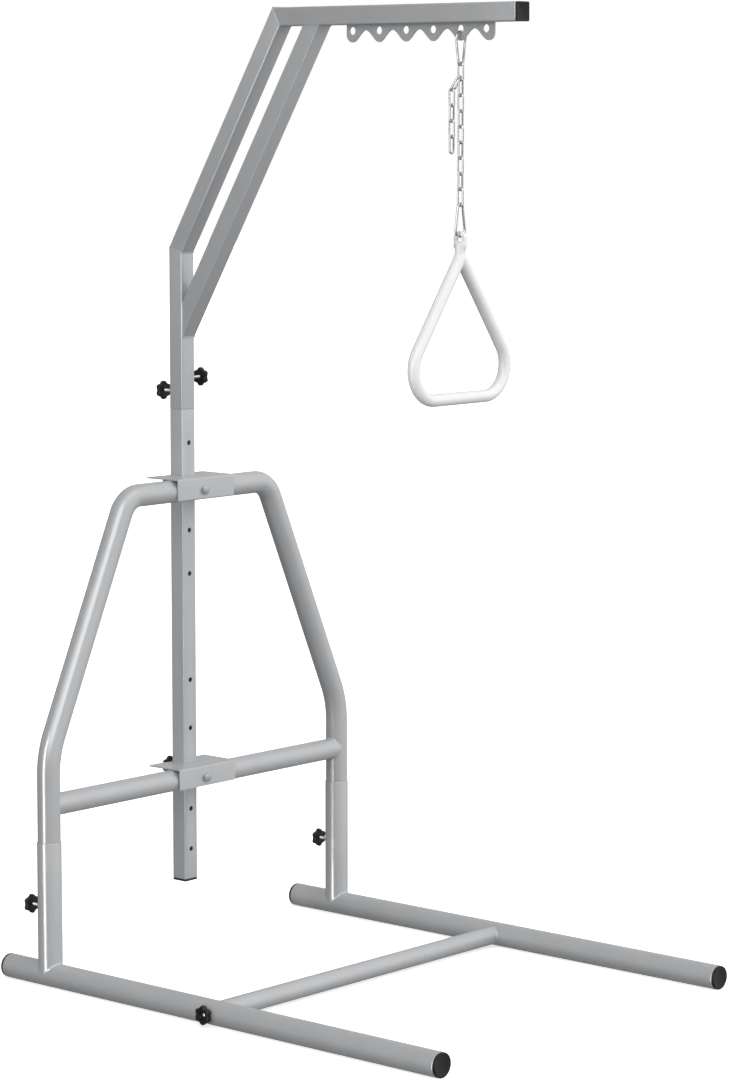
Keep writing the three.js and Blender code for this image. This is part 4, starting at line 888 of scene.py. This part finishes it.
# ---- Floor, light and camera ----
floor_half, floor_level = 30, -0.0003  # in metres; just below the feet
floor_mesh = bpy.data.meshes.new("floor")
floor_mesh.from_pydata([(x * floor_half, y * floor_half, floor_level)
                        for x, y in ((-1, -1), (1, -1), (1, 1), (-1, 1))], [], [(0, 1, 2, 3)])
floor = bpy.data.objects.new("floor", floor_mesh)
bpy.context.scene.collection.objects.link(floor)
floor_paint = bpy.data.materials.new("pale_floor")
floor_paint.use_nodes = True
paint = floor_paint.node_tree.nodes["Principled BSDF"]
paint.inputs["Base Color"].default_value = linear("#F4F4F4")
paint.inputs["Roughness"].default_value = 0.9
paint.inputs["Emission Color"].default_value = (1, 1, 1, 1)
paint.inputs["Emission Strength"].default_value = 0.6
floor_mesh.materials.append(floor_paint)
floor.visible_glossy = False  # the object's undersides reflect the studio
floor.visible_diffuse = False

# The camera sees a white room. The object is lit by, and reflects, a grey studio that is dimmer below than
# above and dimmer on the camera's left than on its right. It has one tall narrow strip of light towards -X,
# one round screen above the camera and a weaker one higher up, towards -Y.
CAMERA_RIGHT = (0.66, -0.751, 0)
STRIP_WAY, SCREEN_WAY, OVERHEAD_WAY = (-0.997, 0.057, 0), (-0.67, -0.5, 0.54), (0.1, -0.5, 0.86)
world = bpy.data.worlds.new("studio")
world.use_nodes = True
toward = add_node(world, "ShaderNodeTexCoord").outputs["Generated"]
height_up = add_node(world, "ShaderNodeSeparateXYZ", {"Vector": toward}).outputs["Z"]


def ramp(value, start, end, low, high):
    """Value of a node output mapped smoothly from start..end to low..high."""
    inputs = {"Value": value, "From Min": start, "From Max": end, "To Min": low, "To Max": high}
    return add_node(world, "ShaderNodeMapRange", inputs, interpolation_type="SMOOTHSTEP").outputs["Result"]


def times(first, second):
    """Product of two node outputs or numbers."""
    return add_node(world, "ShaderNodeMath", {0: first, 1: second}, operation="MULTIPLY").outputs["Value"]


def aimed(direction, way):
    """Cosine of the angle between a direction output and a way."""
    return add_node(world, "ShaderNodeVectorMath", {0: direction, 1: unit(way)},
                    operation="DOT_PRODUCT").outputs["Value"]


def lamp(direction, way, edge, core, level):
    """A light in the studio: its full level where the direction output is within core degrees of its way,
    fading to none at edge degrees."""
    return ramp(aimed(direction, way), np.cos(np.radians(edge)), np.cos(np.radians(core)), 0, level)


flat_way = add_node(world, "ShaderNodeVectorMath", {0: toward, 1: (1, 1, 0)},
                    operation="MULTIPLY").outputs["Vector"]
flat_way = add_node(world, "ShaderNodeVectorMath", {0: flat_way}, operation="NORMALIZE").outputs["Vector"]
sky = times(ramp(height_up, start=-0.6, end=0.3, low=0.2, high=0.43),
            ramp(aimed(toward, CAMERA_RIGHT), start=-1, end=1, low=0.7, high=1.65))
beside = lamp(flat_way, STRIP_WAY, edge=9, core=3, level=6.5)
strip = times(beside, times(ramp(height_up, start=-0.6, end=-0.5, low=0, high=1),
                            ramp(height_up, start=0.4, end=0.5, low=1, high=0)))
screen = lamp(toward, SCREEN_WAY, edge=28, core=10, level=1.9)
overhead = lamp(toward, OVERHEAD_WAY, edge=28, core=12, level=0.7)
studio = 0
for light in (sky, strip, screen, overhead):
    studio = add_node(world, "ShaderNodeMath", {0: light, 1: studio}, operation="ADD").outputs["Value"]
seen = add_node(world, "ShaderNodeLightPath").outputs["Is Camera Ray"]
strength = add_node(world, "ShaderNodeMix", {0: seen, 2: studio, 3: 1.0}, data_type="FLOAT")
room = world.node_tree.nodes["Background"]
room.inputs["Color"].default_value = (1, 1, 1, 1)
world.node_tree.links.new(strength.outputs[0], room.inputs["Strength"])
bpy.context.scene.world = world

fill = bpy.data.lights.new("fill", "SUN")
fill.energy = 1.5
fill.angle = np.radians(60)
fill_holder = bpy.data.objects.new("fill", fill)
fill_holder.rotation_euler = np.radians((72, 0, 37))
fill_holder.visible_glossy = False  # shiny faces reflect the studio alone
bpy.context.scene.collection.objects.link(fill_holder)

camera = bpy.data.cameras.new("camera")
camera.sensor_fit = "VERTICAL"
camera.sensor_height = 24
camera.lens = 77.897
camera_holder = bpy.data.objects.new("camera", camera)
camera_holder.location = (-5.3269, -4.6861, 1.7935)
camera_holder.rotation_euler = np.radians((83.014, 0, -48.702))
bpy.context.scene.collection.objects.link(camera_holder)
bpy.context.scene.camera = camera_holder
bpy.context.scene.view_settings.view_transform = "Standard"
